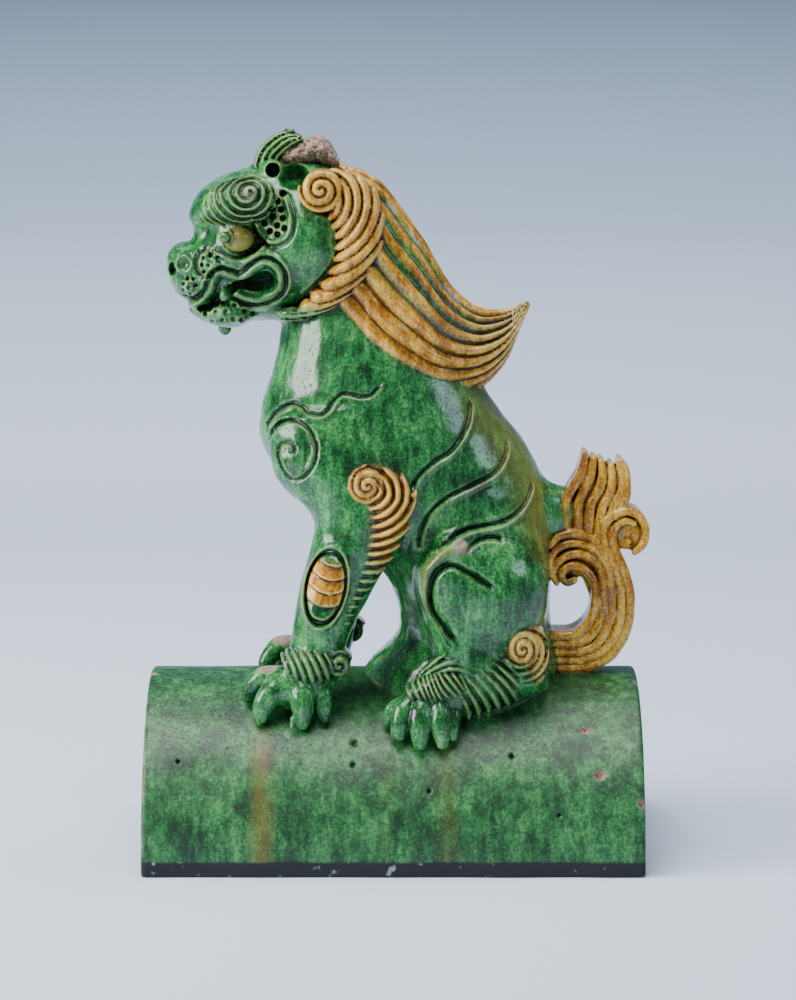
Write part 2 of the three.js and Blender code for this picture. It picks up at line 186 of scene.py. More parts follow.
class Line:
    """A smooth path seen from the side. s is the distance from it, positive on its left."""

    def __init__(self, points, finer=4, pad=5.0, inner=0.0):
        self.path = refine(points, finer)
        self.low = [self.path[:, 0].min() - pad, inner, self.path[:, 1].min() - pad]
        self.high = [self.path[:, 0].max() + pad, FAR, self.path[:, 1].max() + pad]

    def measure(self, x, out, z):
        best = np.full(len(x), FAR)
        place, side = np.zeros(len(x)), np.ones(len(x))
        for k in range(len(self.path) - 1):
            (x0, z0), (sx, sz) = self.path[k], self.path[k + 1] - self.path[k]
            dx, dz = x - x0, z - z0
            f = np.clip((dx * sx + dz * sz) / (sx * sx + sz * sz), 0, 1)
            gap = np.hypot(dx - f * sx, dz - f * sz)
            closer = gap < best
            place = np.where(closer, k + f, place)
            side = np.where(closer, np.sign(sx * dz - sz * dx), side)
            best = np.where(closer, gap, best)
        t = place / (len(self.path) - 1)
        return SimpleNamespace(d=best, x=x, out=out, z=z, t=t, s=best * side)


class Strip(Line):
    """A strand of that radius along a path seen from the side, with its round face out."""

    def __init__(self, points, radius, half):
        super().__init__(points, finer=3, pad=radius)
        self.radius, self.half = radius, half
        self.low[1] = 0.0
        self.high[1] = half

    def measure(self, x, out, z):
        spot = super().measure(x, out, z)
        radius = self.radius * (1.0 - 0.35 * spot.t**4)
        past = np.maximum(out - (self.half - radius), 0.0)
        spot.d = np.hypot(spot.d, past) - radius
        return spot


class Form:
    """A form given by its outline seen from the side. Each station has one edge point, the
    opposite edge point, its middle's distance out and its half width. t runs along it, u
    across it from -1 at the first edge to 1, and v out of its face."""

    def __init__(self, rows, egg=0.0, finer=4):
        table = refine(rows, finer)
        first, second = table[:, 0:2], table[:, 2:4]
        self.middle = (first + second) / 2
        self.reach = np.linalg.norm(second - first, axis=1) / 2
        self.across = (second - first) / (2 * self.reach[:, None])
        self.normal = np.stack([-self.across[:, 1], self.across[:, 0]], axis=1)
        onward = np.gradient(self.middle, axis=0)
        self.normal *= np.sign((self.normal * onward).sum(1))[:, None]
        self.away, self.half = table[:, 4], table[:, 5]
        self.egg = egg
        edges = np.vstack([first, second])
        widest = self.half * (1 + abs(egg))
        self.low = [edges[:, 0].min(), max((self.away - widest).min(), 0.0), edges[:, 1].min()]
        self.high = [edges[:, 0].max(), (self.away + widest).max(), edges[:, 1].max()]

    def measure(self, x, out, z):
        place = np.zeros(len(x))
        before = None
        for (mx, mz), (nx, nz) in zip(self.middle, self.normal):
            past = (x - mx) * nx + (z - mz) * nz
            if before is None:
                start = past
            else:
                place += np.clip(before / np.maximum(before - past, 1e-6), 0.0, 1.0)
            before = past
        last = len(self.middle) - 1
        k = np.minimum(place.astype(int), last - 1)
        f = place - k
        columns = np.column_stack([self.middle, self.across, self.reach, self.away, self.half])
        here = columns[k] + f[:, None] * (columns[k + 1] - columns[k])
        mx, mz, ax, az, reach, away, half = here.T
        u = ((x - mx) * ax + (z - mz) * az) / reach
        width = half * (1.0 + self.egg * np.clip(u, -1.0, 1.0))
        v = (out - away) / width
        k0 = np.sqrt(u * u + v * v)
        k1 = np.sqrt((u / reach) ** 2 + (v / width) ** 2)
        d = k0 * (k0 - 1.0) / np.maximum(k1, 1e-6)
        d = smooth_max(d, np.maximum(-start, before), END_ROUNDING)
        return SimpleNamespace(d=d, x=x, out=out, z=z, t=place / last, u=u, v=v)


class Boss:
    """A domed disc that faces sideways."""

    def __init__(self, x, z, out, radius, depth, tall=1.0, dome=0.35, edge=3.0):
        self.x, self.z, self.out = x, z, out
        self.radius, self.depth, self.tall, self.dome, self.edge = radius, depth, tall, dome, edge
        self.low = [x - radius, max(out - BOSS_BACK, 0.0), z - radius * tall]
        self.high = [x + radius, out + depth, z + radius * tall]

    def measure(self, x, out, z):
        rho = np.hypot(x - self.x, (z - self.z) / self.tall)
        top = out - self.out - self.depth * (1.0 - self.dome * (rho / self.radius) ** 2)
        d = smooth_max(rho - self.radius, top, self.edge)
        if self.out > 0:
            d = np.maximum(d, self.out - BOSS_BACK - out)
        return SimpleNamespace(d=d, x=x, out=out, z=z, rho=rho)


# ---- the clay ----


class Clay:
    """Points in and round the clay: how far outside it each one is, and its glaze."""

    def __init__(self, points, reach, coloured):
        self.x, self.y, self.z = np.ascontiguousarray(points.T)
        self.out = np.abs(self.y)
        self.reach = reach
        self.d = np.full(len(points), FAR)
        self.tags = {name: np.zeros(len(points)) for name in TAGS} if coloured else {}
        self.stand_at(self.x)

    def stand_at(self, x):
        self.side_x = x
        self.low = (x.min(), self.out.min(), self.z.min())
        self.high = (x.max(), self.out.max(), self.z.max())

    def near(self, form, pad):
        return all(
            self.low[k] <= form.high[k] + pad and form.low[k] - pad <= self.high[k]
            for k in range(3)
        )

    def tint(self, share, spot, tags):
        for name, tag in self.tags.items():
            value = tags.get(name, 0.0)
            tag += share * ((value(spot) if callable(value) else value) - tag)

    def add(self, form, blend=1.5, relief=None, **tags):
        """Presses a form onto the clay. relief raises its surface by that much."""
        if not self.near(form, self.reach + blend):
            return
        spot = form.measure(self.side_x, self.out, self.z)
        d = spot.d if relief is None else spot.d - relief(spot)
        gap = self.d - d
        if self.tags:
            self.tint(np.clip(0.5 + gap / TAG_FEATHER, 0.0, 1.0), spot, tags)
        soft = np.maximum(blend - np.abs(gap), 0.0)
        self.d = np.minimum(self.d, d) - soft * soft / (4.0 * blend)

    def cut(self, form, blend=1.0, relief=None, **tags):
        """Takes a form away from the clay. relief deepens the cut by that much."""
        if not self.near(form, self.reach + blend):
            return
        spot = form.measure(self.side_x, self.out, self.z)
        d = -spot.d if relief is None else relief(spot) - spot.d
        if self.tags and tags:
            self.tint(np.clip(0.5 + (d - self.d) / TAG_FEATHER, 0.0, 1.0), spot, tags)
        self.d = smooth_max(self.d, d, blend)

    def mark(self, line, change, **tags):
        """Lowers the outer surface by change along a line seen from the side."""
        if not self.near(line, self.reach):
            return
        spot = line.measure(self.side_x, self.out, self.z)
        facing = self.out > line.low[1]
        self.d = self.d + np.where(facing, change(spot), 0.0)
        if self.tags and tags:
            self.tint(facing * bell(spot.d, 2.0), spot, tags)

    def emboss(self, form, height, inner, **tags):
        """Raises the outer surface by height, within reach of a form seen from the side."""
        box = SimpleNamespace(
            low=[form.low[0] - 3.0, inner, form.low[2] - 3.0],
            high=[form.high[0] + 3.0, FAR, form.high[2] + 3.0],
        )
        if not self.near(box, self.reach):
            return
        spot = form.measure(self.side_x, form.centre[1], self.z)
        facing = self.out > inner
        ring = np.hypot(spot.a, spot.e)
        within = facing & (ring < 1.35)
        self.d = self.d - np.where(within, height(spot), 0.0)
        self.tint(within * (1.0 - ramp(ring, 0.9, 1.0)), spot, tags)

    def tint_near(self, centre, radius, **tags):
        """Changes the glaze within a radius of a point."""
        dx, dy, dz = self.side_x - centre[0], self.out - centre[1], self.z - centre[2]
        rho = np.sqrt(dx**2 + dy**2 + dz**2)
        self.tint(1.0 - ramp(rho, 0.75 * radius, radius), None, tags)

    def dots(self, centres, change, inner, pad=4.0):
        """Lowers the outer surface by change at dots seen from the side."""
        centres = np.asarray(centres, float)
        low, high = centres.min(0) - pad, centres.max(0) + pad
        box = SimpleNamespace(low=[low[0], inner, low[1]], high=[high[0], FAR, high[1]])
        if not self.near(box, self.reach):
            return
        total = 0.0
        for cx, cz in centres:
            total = total + change(np.hypot(self.side_x - cx, self.z - cz))
        self.d = self.d + np.where(self.out > inner, total, 0.0)


def whorl(spot, x, z, pitch, hand=-1, tall=1.0):
    """The phase of a spiral about a point seen from the side; crests lie at whole turns."""
    dx, dz = spot.x - x, (spot.z - z) / tall
    return np.hypot(dx, dz) / pitch - hand * np.arctan2(dz, dx) / (2 * math.pi)


def groove(depth, width, lip=0.0):
    """A groove with a raised lip on its right, going along the line."""

    def change(spot):
        fade = ramp(spot.t, 0.0, 0.06) * ramp(1.0 - spot.t, 0.0, 0.06)
        hollow = depth * bell(spot.s, width)
        raised = lip * bell(spot.s + 1.9 * width, 1.1 * width)
        return (hollow - raised) * (0.35 + 0.65 * fade)

    return change


def pit(depth, radius):
    return lambda rho: depth * np.exp(-((rho / radius) ** 4))


def punched_ring(depth, radius):
    def change(rho):
        return depth * bell(rho, 0.62 * radius) - 0.5 * depth * bell(rho - radius, 0.35 * radius)

    return change


# ---- the body ----

TORSO = Form([
    [-58, 322, 2, 350, 0, 30],
    [-63, 300, 20, 318, 0, 35],
    [-68, 276, 42, 280, 0, 43],
    [-76, 248, 59, 252, 0, 49],
    [-72, 224, 76, 230, 0, 51],
    [-42, 196, 86, 207, 0, 52],
    [-18, 171, 90, 177, 0, 54],
    [-1, 148, 90, 150, 0, 55],
    [3, 122, 91, 124, 0, 56],
    [-16, 100, 96, 101, 0, 56],
    [-18, 72, 96, 72, 0, 56],
])
SHOULDER = Ball((-38, 34, 228), (31, 22, 30), -0.3)
HAUNCH = Ball((52, 38, 150), (36, 32, 39), -0.1)

WAVY_LINE = Line([
    [-71.9, 240.8], [-70.5, 245.4], [-65.9, 251.7], [-59, 256.8], [-52.7, 257.1], [-47, 253.7],
    [-40.8, 252.5], [-36.8, 254.8], [-33.4, 259.7], [-28.8, 263.7], [-24.2, 263.7],
    [-18.5, 262.4], [-12.9, 263.1], [-9.4, 266.3], [-6.6, 269.4],
], inner=12)
SCROLL = Line([
    [-69.9, 236.4], [-68.1, 241], [-63.5, 246.7], [-56.7, 249.3], [-49.9, 247.3],
    [-44.8, 242.1], [-42.4, 234.7], [-43.7, 226.6], [-48.8, 219.2], [-54.6, 216],
    [-59.7, 218.6], [-63.1, 224.3], [-64.6, 230.1], [-63.3, 235.3], [-59, 237.3],
    [-55.6, 235.3], [-55.3, 231.8], [-57.9, 231.8],
], inner=12)
FLANK_LINES = [
    Line([
        [42.5, 258.3], [42.9, 253], [41.2, 245.1], [36.7, 237.1], [31.4, 231.1],
        [23.5, 226.5], [16.9, 221.1], [12.3, 215.8], [10.6, 211.2],
    ], inner=15),
    Line([
        [63.9, 235.4], [63.3, 228.7], [59.7, 221.4], [53.8, 216.8], [44.6, 212.8],
        [35.4, 208.8], [28.1, 204.8], [21.5, 198.8], [17.6, 192.8], [15, 186.1], [14.3, 179.4],
    ], inner=15),
    Line([
        [78.2, 211.4], [76.9, 205.4], [73, 198.8], [67.1, 194.1], [59.8, 191.4],
        [49.9, 190.1], [42, 188.8], [35.4, 186.1], [30.2, 182.8], [25.5, 179.4],
    ], inner=15),
]


def back_olive(spot):
    """Olive glaze down the beast's back, from under the mane to the tail."""
    along = ramp(spot.t, 0.15, 0.3) * (1 - ramp(spot.t, 0.6, 0.72))
    return 0.5 * ramp(spot.u, 0.55, 0.95) * along


def add_body(clay):
    clay.add(TORSO, 8, pale=back_olive)
    clay.add(SHOULDER, 12)
    clay.add(HAUNCH, 10)


def carve_body(clay):
    clay.mark(WAVY_LINE, groove(1.7, 1.1, 0.7))
    clay.mark(SCROLL, groove(1.6, 1.1, 0.6))
    for line in FLANK_LINES:
        clay.mark(line, groove(2.0, 1.3))
        clay.mark(line, lambda s: -1.5 * bell(s.s - 2.6, 1.5) * ramp(s.t, 0.0, 0.1))


# ---- the head ----

SKULL = Form([
    [-129, 330, -126, 341, 0, 8],
    [-123, 316, -117, 346, 0, 18],
    [-108, 309, -106, 352, 0, 26],
    [-92, 304, -98, 376, 0, 33],
    [-76, 301, -81, 387, 0, 39],
    [-58, 303, -58, 392, 0, 42],
    [-40, 312, -36, 389, 0, 40],
    [-22, 330, -14, 376, 0, 30],
])
FOREHEAD = Form([
    [-115.5, 356, -116, 364, 0, 11],
    [-110, 352, -110, 374, 0, 21],
    [-100, 350, -101, 381, 0, 28],
    [-88, 350, -90, 385.5, 0, 33],
    [-76, 352, -78, 387.5, 0, 36],
])
BRIDGE = Ball((-103.5, 0, 350), (10, 15, 10))
CHEEK = Ball((-50, 22, 346), (28, 26, 31))
JAW = Ball((-94, 10, 307), (16, 19, 9))
CHIN = Ball((-107, 6, 309), (9, 14, 7))
NUB = Ball((-96, 0, 297), (4, 4, 4.6))
NOSE = Ball((-119.5, 6, 337), (8.5, 9, 8))
WING = Ball((-118, 14.5, 335), (6, 6, 7))
BROW = Form([
    [-110, 361, -109, 366, 21, 6],
    [-104, 359, -105, 372, 26, 9],
    [-94, 358, -97, 379, 31, 12],
    [-84, 358.5, -85, 383, 34, 13],
    [-74, 361, -75, 384, 36, 13],
    [-67, 365, -68, 380, 37, 10],
    [-64, 370, -65, 376, 37, 6],
])
BROW_SPIRAL = (-79.9, 376.0)
SOCKET = Ball((-83, 42, 349), (14, 15, 9.5), 0.1)
EYEBALL = Ball((-86, 34, 349.6), (8.6, 8.4, 6.9))
PUPIL = Cord([(-91, 36, 350.6), (-93.5, 41.4, 350.8)], 4.5, finer=1)
PUPIL_TIP = Ball((-95, 43.2, 351.4), (2.7, 2.6, 2.7))
LOWER_LID = Line([
    [-98, 341.6], [-91.6, 338.9], [-85.2, 337.7], [-78, 340.9], [-73.5, 345],
], inner=20)
PADS = [Ball((-101.6, 26.8, 335.2), (6.4, 6.8, 5.8)), Ball((-114.2, 18.8, 322.6), (5.6, 6, 5.2))]
PAD_DOTS = [
    (-106.6, 338.7), (-107.4, 334.7), (-106.1, 330.7), (-102.6, 339.8), (-103.6, 334.6),
    (-98.1, 339.2), (-118.2, 323.5), (-116.0, 326.2), (-112.6, 326.2), (-118.4, 319.9),
    (-115.0, 321.6), (-111.4, 322.6), (-114.4, 317.8),
]
PAD_RIDGE = Line([[-106.5, 343], [-110, 340], [-111.4, 335], [-110, 330], [-107.4, 327.2]], inner=8)
UPPER_LIP = Line([
    [-117.5, 312.4], [-114, 311.5], [-108.4, 313.8], [-103.4, 319], [-101, 325.8],
    [-97, 330], [-92.4, 329.3], [-86.3, 327.6], [-82, 329.5], [-77.5, 333.5], [-72, 336.6],
    [-66.7, 335], [-63.3, 330.2], [-63.5, 323.4], [-68, 318.2], [-75.6, 315.4], [-83, 315.8],
    [-88.4, 319],
], inner=10, pad=9)
MOUTH = Form([
    [-90, 325.4, -90, 321.4, 34, 17],
    [-83, 327, -83, 320.8, 36, 20],
    [-76, 330.8, -76, 319.6, 38, 22],
    [-70, 331.8, -70, 320.4, 40, 22],
    [-66, 329, -66.5, 323.6, 42, 20],
])
MOUTH_FRONT = Form([
    [-86, 324.5, -86, 321, 36, 16],
    [-92, 323.4, -90.5, 317.4, 34, 16],
    [-98.5, 319.2, -96, 312.6, 30, 16],
    [-105, 312.8, -102, 308.2, 25, 14],
    [-112, 310, -109, 306.5, 18, 12],
])
TOOTH = Cord([(-94.5, 24, 321), (-94.6, 26.5, 317.5)], [4.0, 3.2], finer=1)
BEARD_RINGS = [
    (-84.1, 308.4), (-89, 312), (-93.8, 308.4), (-90, 304.2), (-96.3, 303.6), (-99.5, 308),
    (-102, 302.6), (-106, 306), (-95.6, 312.6), (-85.6, 303.6), (-79.5, 306.6), (-103, 311.4),
]
NOSTRIL_WING = (-118.0, 334.6)
NOSTRIL = Ball((-125, 9.5, 331.2), (2.8, 7, 4.2), -0.3)
PATCH_PITS = [
    (-71.9, 358.6), (-68.6, 354.2), (-64.4, 357.4), (-67.2, 362.2), (-61.4, 361.4), (-62.4, 366),
    (-67.6, 366.6), (-64.4, 352.6), (-64.6, 370.4), (-60.4, 356), (-61.8, 374.6),
]
PATCH_RIM = Line([
    [-76, 358], [-74, 352.4], [-69.4, 348.6], [-63.2, 349], [-58.4, 353.2],
    [-57.2, 361], [-58.6, 367], [-60.4, 372],
], inner=20)
CHEEK_RIM = Line([
    [-42.3, 362.7], [-36.8, 361.1], [-32.4, 355.5], [-31.6, 347.6], [-35.2, 338],
    [-41.7, 329.2], [-51.3, 319.6],
], inner=20)

TUFT_ROOT = Form([
    [-80, 377, -60, 377, 0, 13],
    [-80, 387, -62, 386, 0, 13],
    [-77.8, 396, -60, 392.5, 0, 12.5],
    [-72.5, 403, -56.5, 395.5, 0, 12],
    [-64.5, 408, -53.5, 398.5, 0, 11.5],
    [-55.5, 408.6, -50.6, 401.5, 0, 10.5],
])
LOOP = Cord([(-68, -13, 386.6), (-68, 15.2, 386.6)], 6.6, finer=1)
LOOP_HOLE = Cord([(-67.6, 5, 387), (-67.6, 30, 387)], 4.1, finer=1)
HORN_ROOT = Form([
    [-62, 380, -60, 396, 0, 6],
    [-48, 380, -46, 398, 0, 6],
    [-34, 380, -34, 393, 0, 6],
])
HORN = Form([
    [-64, 389, -61, 399, 0, 11],
    [-54, 389, -52, 403, 0, 13],
    [-46, 391, -45.5, 405.5, 0, 13],
    [-39, 390.5, -40.5, 406, 0, 12.5],
    [-33.5, 388.5, -34.5, 400, 0, 11],
    [-31, 388, -31.5, 394, 0, 9],
], finer=1)
HORN_GAP = Ball((-55.5, 27, 385), (9.2, 22, 8.2), -0.1)


def brow_ribs(spot):
    dx, dz = spot.x - BROW_SPIRAL[0], spot.z - BROW_SPIRAL[1]
    dy = spot.out - 47.0
    rho = np.sqrt(dx * dx + dz * dz + 0.8 * dy * dy)
    left = np.maximum(-dx, 0.0) / (np.abs(dx) + np.abs(dz) + 1.0)
    phase = rho / (4.1 + 0.9 * left) + np.arctan2(dz, dx) / (2 * math.pi)
    smooth_edge = ramp(spot.x, -112, -103)
    return (2.7 * wave(phase) ** 1.7 - 1.1) * smooth_edge + 1.6 * bell(np.hypot(dx, dz), 3.2)


def wing_ring(rho):
    return 1.8 * bell(rho, 2.6) - 1.2 * bell(rho - 4.4, 1.2)


def lip_ridge(spot):
    front = ramp(spot.t, 0.0, 0.08)
    high = 3.2 * bell(spot.s, 2.2) + 1.5 * bell(spot.s - 5.4, 1.3)
    return -high * front + 1.4 * bell(spot.s - 3.2, 1.0) + 1.0 * bell(spot.s + 3.4, 1.2)


def tuft_flutes(spot):
    return (2.4 * crest(2.5 * (spot.u + 1.0) + 0.15 * spot.t) - 1.2) * ramp(spot.t, 0.0, 0.3)


def broken_clay(spot):
    facets = np.sin(0.9 * spot.x + 0.6 * spot.z) + np.sin(1.1 * spot.z - 0.7 * spot.out)
    grain = np.sin(2.3 * spot.x - 1.4 * spot.out) * np.sin(2.1 * spot.z + 1.7 * spot.out)
    return 0.7 * np.abs(facets) + 0.55 * grain - 0.4


def add_head(clay):
    clay.add(SKULL, 6)
    clay.add(FOREHEAD, 5)
    clay.add(BRIDGE, 4)
    clay.add(CHEEK, 4)
    clay.add(JAW, 4)
    clay.add(CHIN, 3)
    clay.add(NUB, 1)
    clay.add(NOSE, 3)
    clay.cut(SOCKET, 2.0)
    clay.add(BROW, 1.2, brow_ribs, bare=lambda s: 0.8 * bell(
        np.hypot(s.x - BROW_SPIRAL[0], s.z - BROW_SPIRAL[1]), 2.2))
    clay.add(WING, 1.0)
    for pad in PADS:
        clay.add(pad, 1.0)
    clay.mark(UPPER_LIP, lip_ridge)
    clay.cut(MOUTH, 1.0)
    clay.cut(MOUTH_FRONT, 1.0)
    clay.add(TOOTH, 0.8)
    clay.add(EYEBALL, 0.5, pale=1.0)
    clay.add(PUPIL, 0.4, pale=0.15)
    clay.dots([(-94.2, 350.9)], lambda rho: 1.7 * bell(rho - 3.6, 0.9), 34)
    clay.add(PUPIL_TIP, 0.3)
    clay.cut(NOSTRIL, 1.0)
    clay.mark(LOWER_LID, lambda spot: 1.5 * bell(spot.s - 1.6, 1.2) - 2.2 * bell(spot.s + 0.8, 2.0))
    clay.mark(PAD_RIDGE, lambda spot: 1.8 * bell(spot.s, 1.2) - 1.6 * bell(spot.s - 2.6, 1.2))
    clay.dots(PAD_DOTS, pit(1.5, 1.05), 8)
    clay.dots(BEARD_RINGS, punched_ring(1.1, 2.0), 6)
    clay.dots([NOSTRIL_WING], wing_ring, 9, 8)
    clay.mark(PATCH_RIM, lambda spot: -1.5 * bell(spot.s, 1.2) + 1.2 * bell(spot.s + 2.6, 1.2))
    clay.dots(PATCH_PITS, pit(3.0, 1.75), 20)
    clay.mark(CHEEK_RIM, lambda spot: -0.8 * bell(spot.s, 0.9) + 0.3 * bell(spot.s - 1.8, 1.0))


def add_crest(clay):
    clay.cut(HORN_GAP, 1.5)
    clay.add(HORN_ROOT, 1.5)
    clay.add(TUFT_ROOT, 1.5, tuft_flutes)
    clay.add(LOOP, 1.0)
    clay.cut(LOOP_HOLE, 0.8)
    clay.add(HORN, 0.6, broken_clay, bare=1.0)


# ---- mane and the ribbed band behind the cheek ----

MANE = Form([
    [-26, 388, -40, 301, 0, 40],
    [-7, 378, -29, 288, 0, 43],
    [7, 360, -15, 272, 0, 44],
    [19, 343, 4, 261, 0, 43],
    [32, 321, 25, 257, 0, 38],
    [47, 308, 47, 262, 0, 29],
    [63, 306.5, 63, 276, 0, 19],
    [74, 311, 73, 298, 0, 9],
    [77.5, 312, 77.5, 308, 0, 4],
], egg=0.08)
BAND = Form([
    [-42, 368, -34, 389, 36, 11],
    [-36, 362, -14, 382, 37, 13],
    [-32, 350, -5.5, 361, 38, 13],
    [-33, 337, -10, 338, 38, 13],
    [-42, 323, -21, 322, 36, 12],
    [-54, 312, -38, 309, 31, 11],
    [-66, 309, -62, 302, 24, 8],
])
BAND_SPIRAL = (-40.1, 377.6)
BAND_BOSS = Boss(*BAND_SPIRAL, 42, 12.2, 10.5, edge=2.0)
MANE_STRANDS = 10.5


def mane_phase(spot):
    return MANE_STRANDS * np.arctan2(np.abs(spot.v), spot.u) / math.pi


def mane_strands(spot):
    deep = 1.0 - 0.8 * ramp(spot.t, 0.62, 0.97)
    hollow = 1.0 + 0.9 * ramp(-spot.u, -0.2, 0.5)
    return 3.6 * deep * crest(mane_phase(spot)) ** hollow - 2.1 * deep


def mane_amber(spot):
    top = ramp(-spot.u, -0.05, 0.45) * ramp(spot.t, 0.04, 0.12)
    return 1.0 - 0.95 * top * (1.0 - ramp(crest(mane_phase(spot)), 0.55, 0.9))


def band_ribs(spot):
    dx, dz = spot.x - BAND_SPIRAL[0], spot.z - BAND_SPIRAL[1]
    rho = np.hypot(dx, dz)
    smile = 3.5 * ramp(rho, 42, 62) * (1 - np.clip(spot.u, -1, 1) ** 2)
    phase = (rho + 6.6 * np.arctan2(dz, dx) - smile) / 5.5
    return 2.6 * crest(phase) - 1.4


def add_mane(clay):
    clay.add(MANE, 1.5, mane_strands, amber=mane_amber)
    clay.add(BAND, 1.0, band_ribs, amber=lambda spot: 1.0 - ramp(spot.t, 0.74, 0.9))
    clay.add(BAND_BOSS, 0.6, lambda spot: 2.6 * crest(whorl(spot, *BAND_SPIRAL, 5.3) + 0.5) - 1.9,
             amber=1.0)


# ---- forelegs ----

FORELEG = Form([
    [-67, 246, -16, 254, 33, 16],
    [-63, 222, 2, 230, 39, 20],
    [-46, 196, 11, 204, 43, 21],
    [-46, 178, 4, 182, 45, 20],
    [-52, 158, -6, 163, 46, 18],
    [-56, 137, -18, 141, 46, 16],
    [-58, 122, -26, 124, 47, 15],
    [-61, 106, -30, 106, 49, 14],
    [-59, 92, -36, 90, 50, 12],
])
ELBOW_SPIRAL = (-14.3, 214.4)
ELBOW_BAND = Form([
    [-22, 221, 2, 223, 56, 8],
    [-16, 206, 11.5, 209, 58, 9],
    [-14.5, 193, 9.8, 194, 58, 9],
    [-17.5, 180, 3.5, 181, 57, 8.5],
    [-19.5, 168, -3.5, 169, 56.5, 8],
    [-22.5, 156, -11.5, 158, 56, 7],
    [-26, 146, -18.5, 147.5, 55, 6],
    [-29.5, 137, -23.5, 138, 54, 5],
    [-31.5, 129, -27.5, 130, 53, 4],
])
ELBOW_BOSS = Boss(*ELBOW_SPIRAL, 59, 10.2, 7.5)
MEDALLION = Ball((-37.8, 60, 156.5), (11.6, 22, 22.6), math.radians(-12))

FORE_PAD = Ball((-55, 52, 99), (19, 14, 13), 0.1)
FORE_TOES = [
    Cord([(-63, 48, 104), (-73, 49, 103), (-80, 47, 96), (-83, 45, 90)], [6, 6.4, 5.4, 3]),
    Cord([(-61, 55, 102), (-68, 59, 97), (-73, 61, 89), (-74, 62, 83)], [6, 6.8, 6, 3.6]),
    Cord([(-51, 58, 102), (-51, 62.5, 96), (-51, 65, 88), (-51, 65.5, 81)], [6, 7, 6.2, 4]),
    Cord([(-42, 57, 101), (-39.5, 60, 96), (-38.5, 62, 89), (-38.5, 62, 83)], [4.6, 5.2, 4.6, 3]),
]
FORE_CLAWS = [
    Cord([(-80, 46, 93), (-80, 47, 89.5)], [2.4, 1.0], finer=1),
    Cord([(-74.5, 62, 84), (-75.5, 63, 79.5)], [2.4, 1.0], finer=1),
    Cord([(-56, 66, 83), (-57, 67.5, 79)], [2.2, 1.0], finer=1),
]
FORE_CUFF = Form([
    [-63, 117, -61, 104, 49, 9],
    [-56, 121, -54, 101, 52.5, 13.5],
    [-46, 121.5, -45, 101, 54.5, 14],
    [-38, 120.5, -36, 103, 53.5, 12.5],
    [-32, 119, -31, 107, 50, 9],
])
WRIST_SPIRAL = (-30.4, 112.8)
WRIST_BOSS = Boss(*WRIST_SPIRAL, 56, 7.6, 7.5)


def elbow_ribs(spot):
    dx, dz = spot.x - ELBOW_SPIRAL[0], spot.z - ELBOW_SPIRAL[1]
    angle = np.arctan2(dz, dx)
    rho = np.hypot(dx, dz)
    phase = (rho + 4.5 * np.maximum(angle + 0.4, 0.0)) / 5.1 + 0.43
    low = ramp(-spot.z, -180, -150)
    return 2.9 * wave(phase) ** (1.2 + 0.4 * low) - 1.9


def medallion_saucers(spot):
    """The oval's rim, the groove inside it and the row of saucers it holds."""
    ring = np.hypot(spot.a, spot.e)
    fall = (22.6 * spot.e - 4.5 * spot.a**2) / 7.9 + 0.42
    saucer = 1.0 - (fall - np.floor(fall))
    inside = 1.0 - ramp(ring, 0.80, 0.92)
    rim = 1.5 * bell(ring - 1.06, 0.085) - 2.0 * bell(ring - 0.93, 0.075)
    return rim + inside * (3.0 * saucer * ramp(1.0 - saucer, 0.0, 0.16) + 2.2 * (1 - ring**2) - 1.0)


def cuff_ribs(spot):
    phase = (spot.x + 0.42 * (spot.z - 112) + 0.018 * (spot.z - 112) ** 2) / 4.5
    return 2.6 * crest(phase) - 1.4


def add_forelegs(clay):
    back = FAR_LEG_SETBACK * (1.0 - ramp(clay.z, 178, 204))
    clay.stand_at(np.where(clay.y > 0, clay.x - back, clay.x))
    clay.add(FORELEG, 8)
    clay.add(ELBOW_BAND, 1.2, elbow_ribs, amber=lambda spot: ramp(spot.z + 0.9 * spot.x, 150, 176))
    clay.add(ELBOW_BOSS, 0.8, lambda spot: 1.9 * crest(whorl(spot, *ELBOW_SPIRAL, 4.2) + 0.5) - 1.2,
             amber=0.85)
    clay.emboss(MEDALLION, medallion_saucers, 40, amber=lambda s: (np.hypot(s.a, s.e) < 0.9) * ramp(
        s.e, -0.5, -0.3) * (1.0 - ramp(s.e, 0.5, 0.75)))
    clay.add(FORE_PAD, 3)
    for toe in FORE_TOES:
        clay.add(toe, 1.2)
    for claw in FORE_CLAWS:
        clay.add(claw, 0.6)
    clay.tint_near((-71, 48, 109), 8.0, bare=0.9)
    clay.add(FORE_CUFF, 1.0, cuff_ribs)
    clay.add(WRIST_BOSS, 0.8, lambda spot: 2.2 * crest(whorl(spot, *WRIST_SPIRAL, 4.8) + 0.6) - 1.4)
    clay.stand_at(clay.x)


# ---- hind legs ----

KNEE = Form([
    [22, 182, 46, 190, 46, 15],
    [15, 168, 52, 176, 50, 18],
    [15, 152, 52, 150, 51, 18],
    [20, 134, 52, 132, 52, 16],
    [24, 119, 58, 117, 53, 15],
    [20, 98, 62, 98, 54, 15],
])
KNEE_GROOVE = Line([
    [35.9, 125.9], [28.2, 135.5], [22.2, 144.1], [20.5, 154.5], [23, 164], [28.1, 169.2],
    [34.1, 170], [40.9, 166.6], [49.4, 161.4], [57.1, 156.2],
], inner=30)
KNEE_RIDGE = Line([
    [30, 124], [25, 133], [18.6, 145.5], [16.4, 156.8], [18, 166], [24, 174], [32, 178.5],
    [40, 180],
], inner=30, pad=8)
KNEE_TOP = Line([
    [40.5, 177], [42.9, 180], [45.8, 182.3], [51.1, 184], [56.4, 184], [61, 182.6],
], inner=30)
HEEL_SPIRAL = (72.5, 121.8)
HEEL_BOSS = Boss(*HEEL_SPIRAL, 54, 9.0, 11.0, tall=1.2)
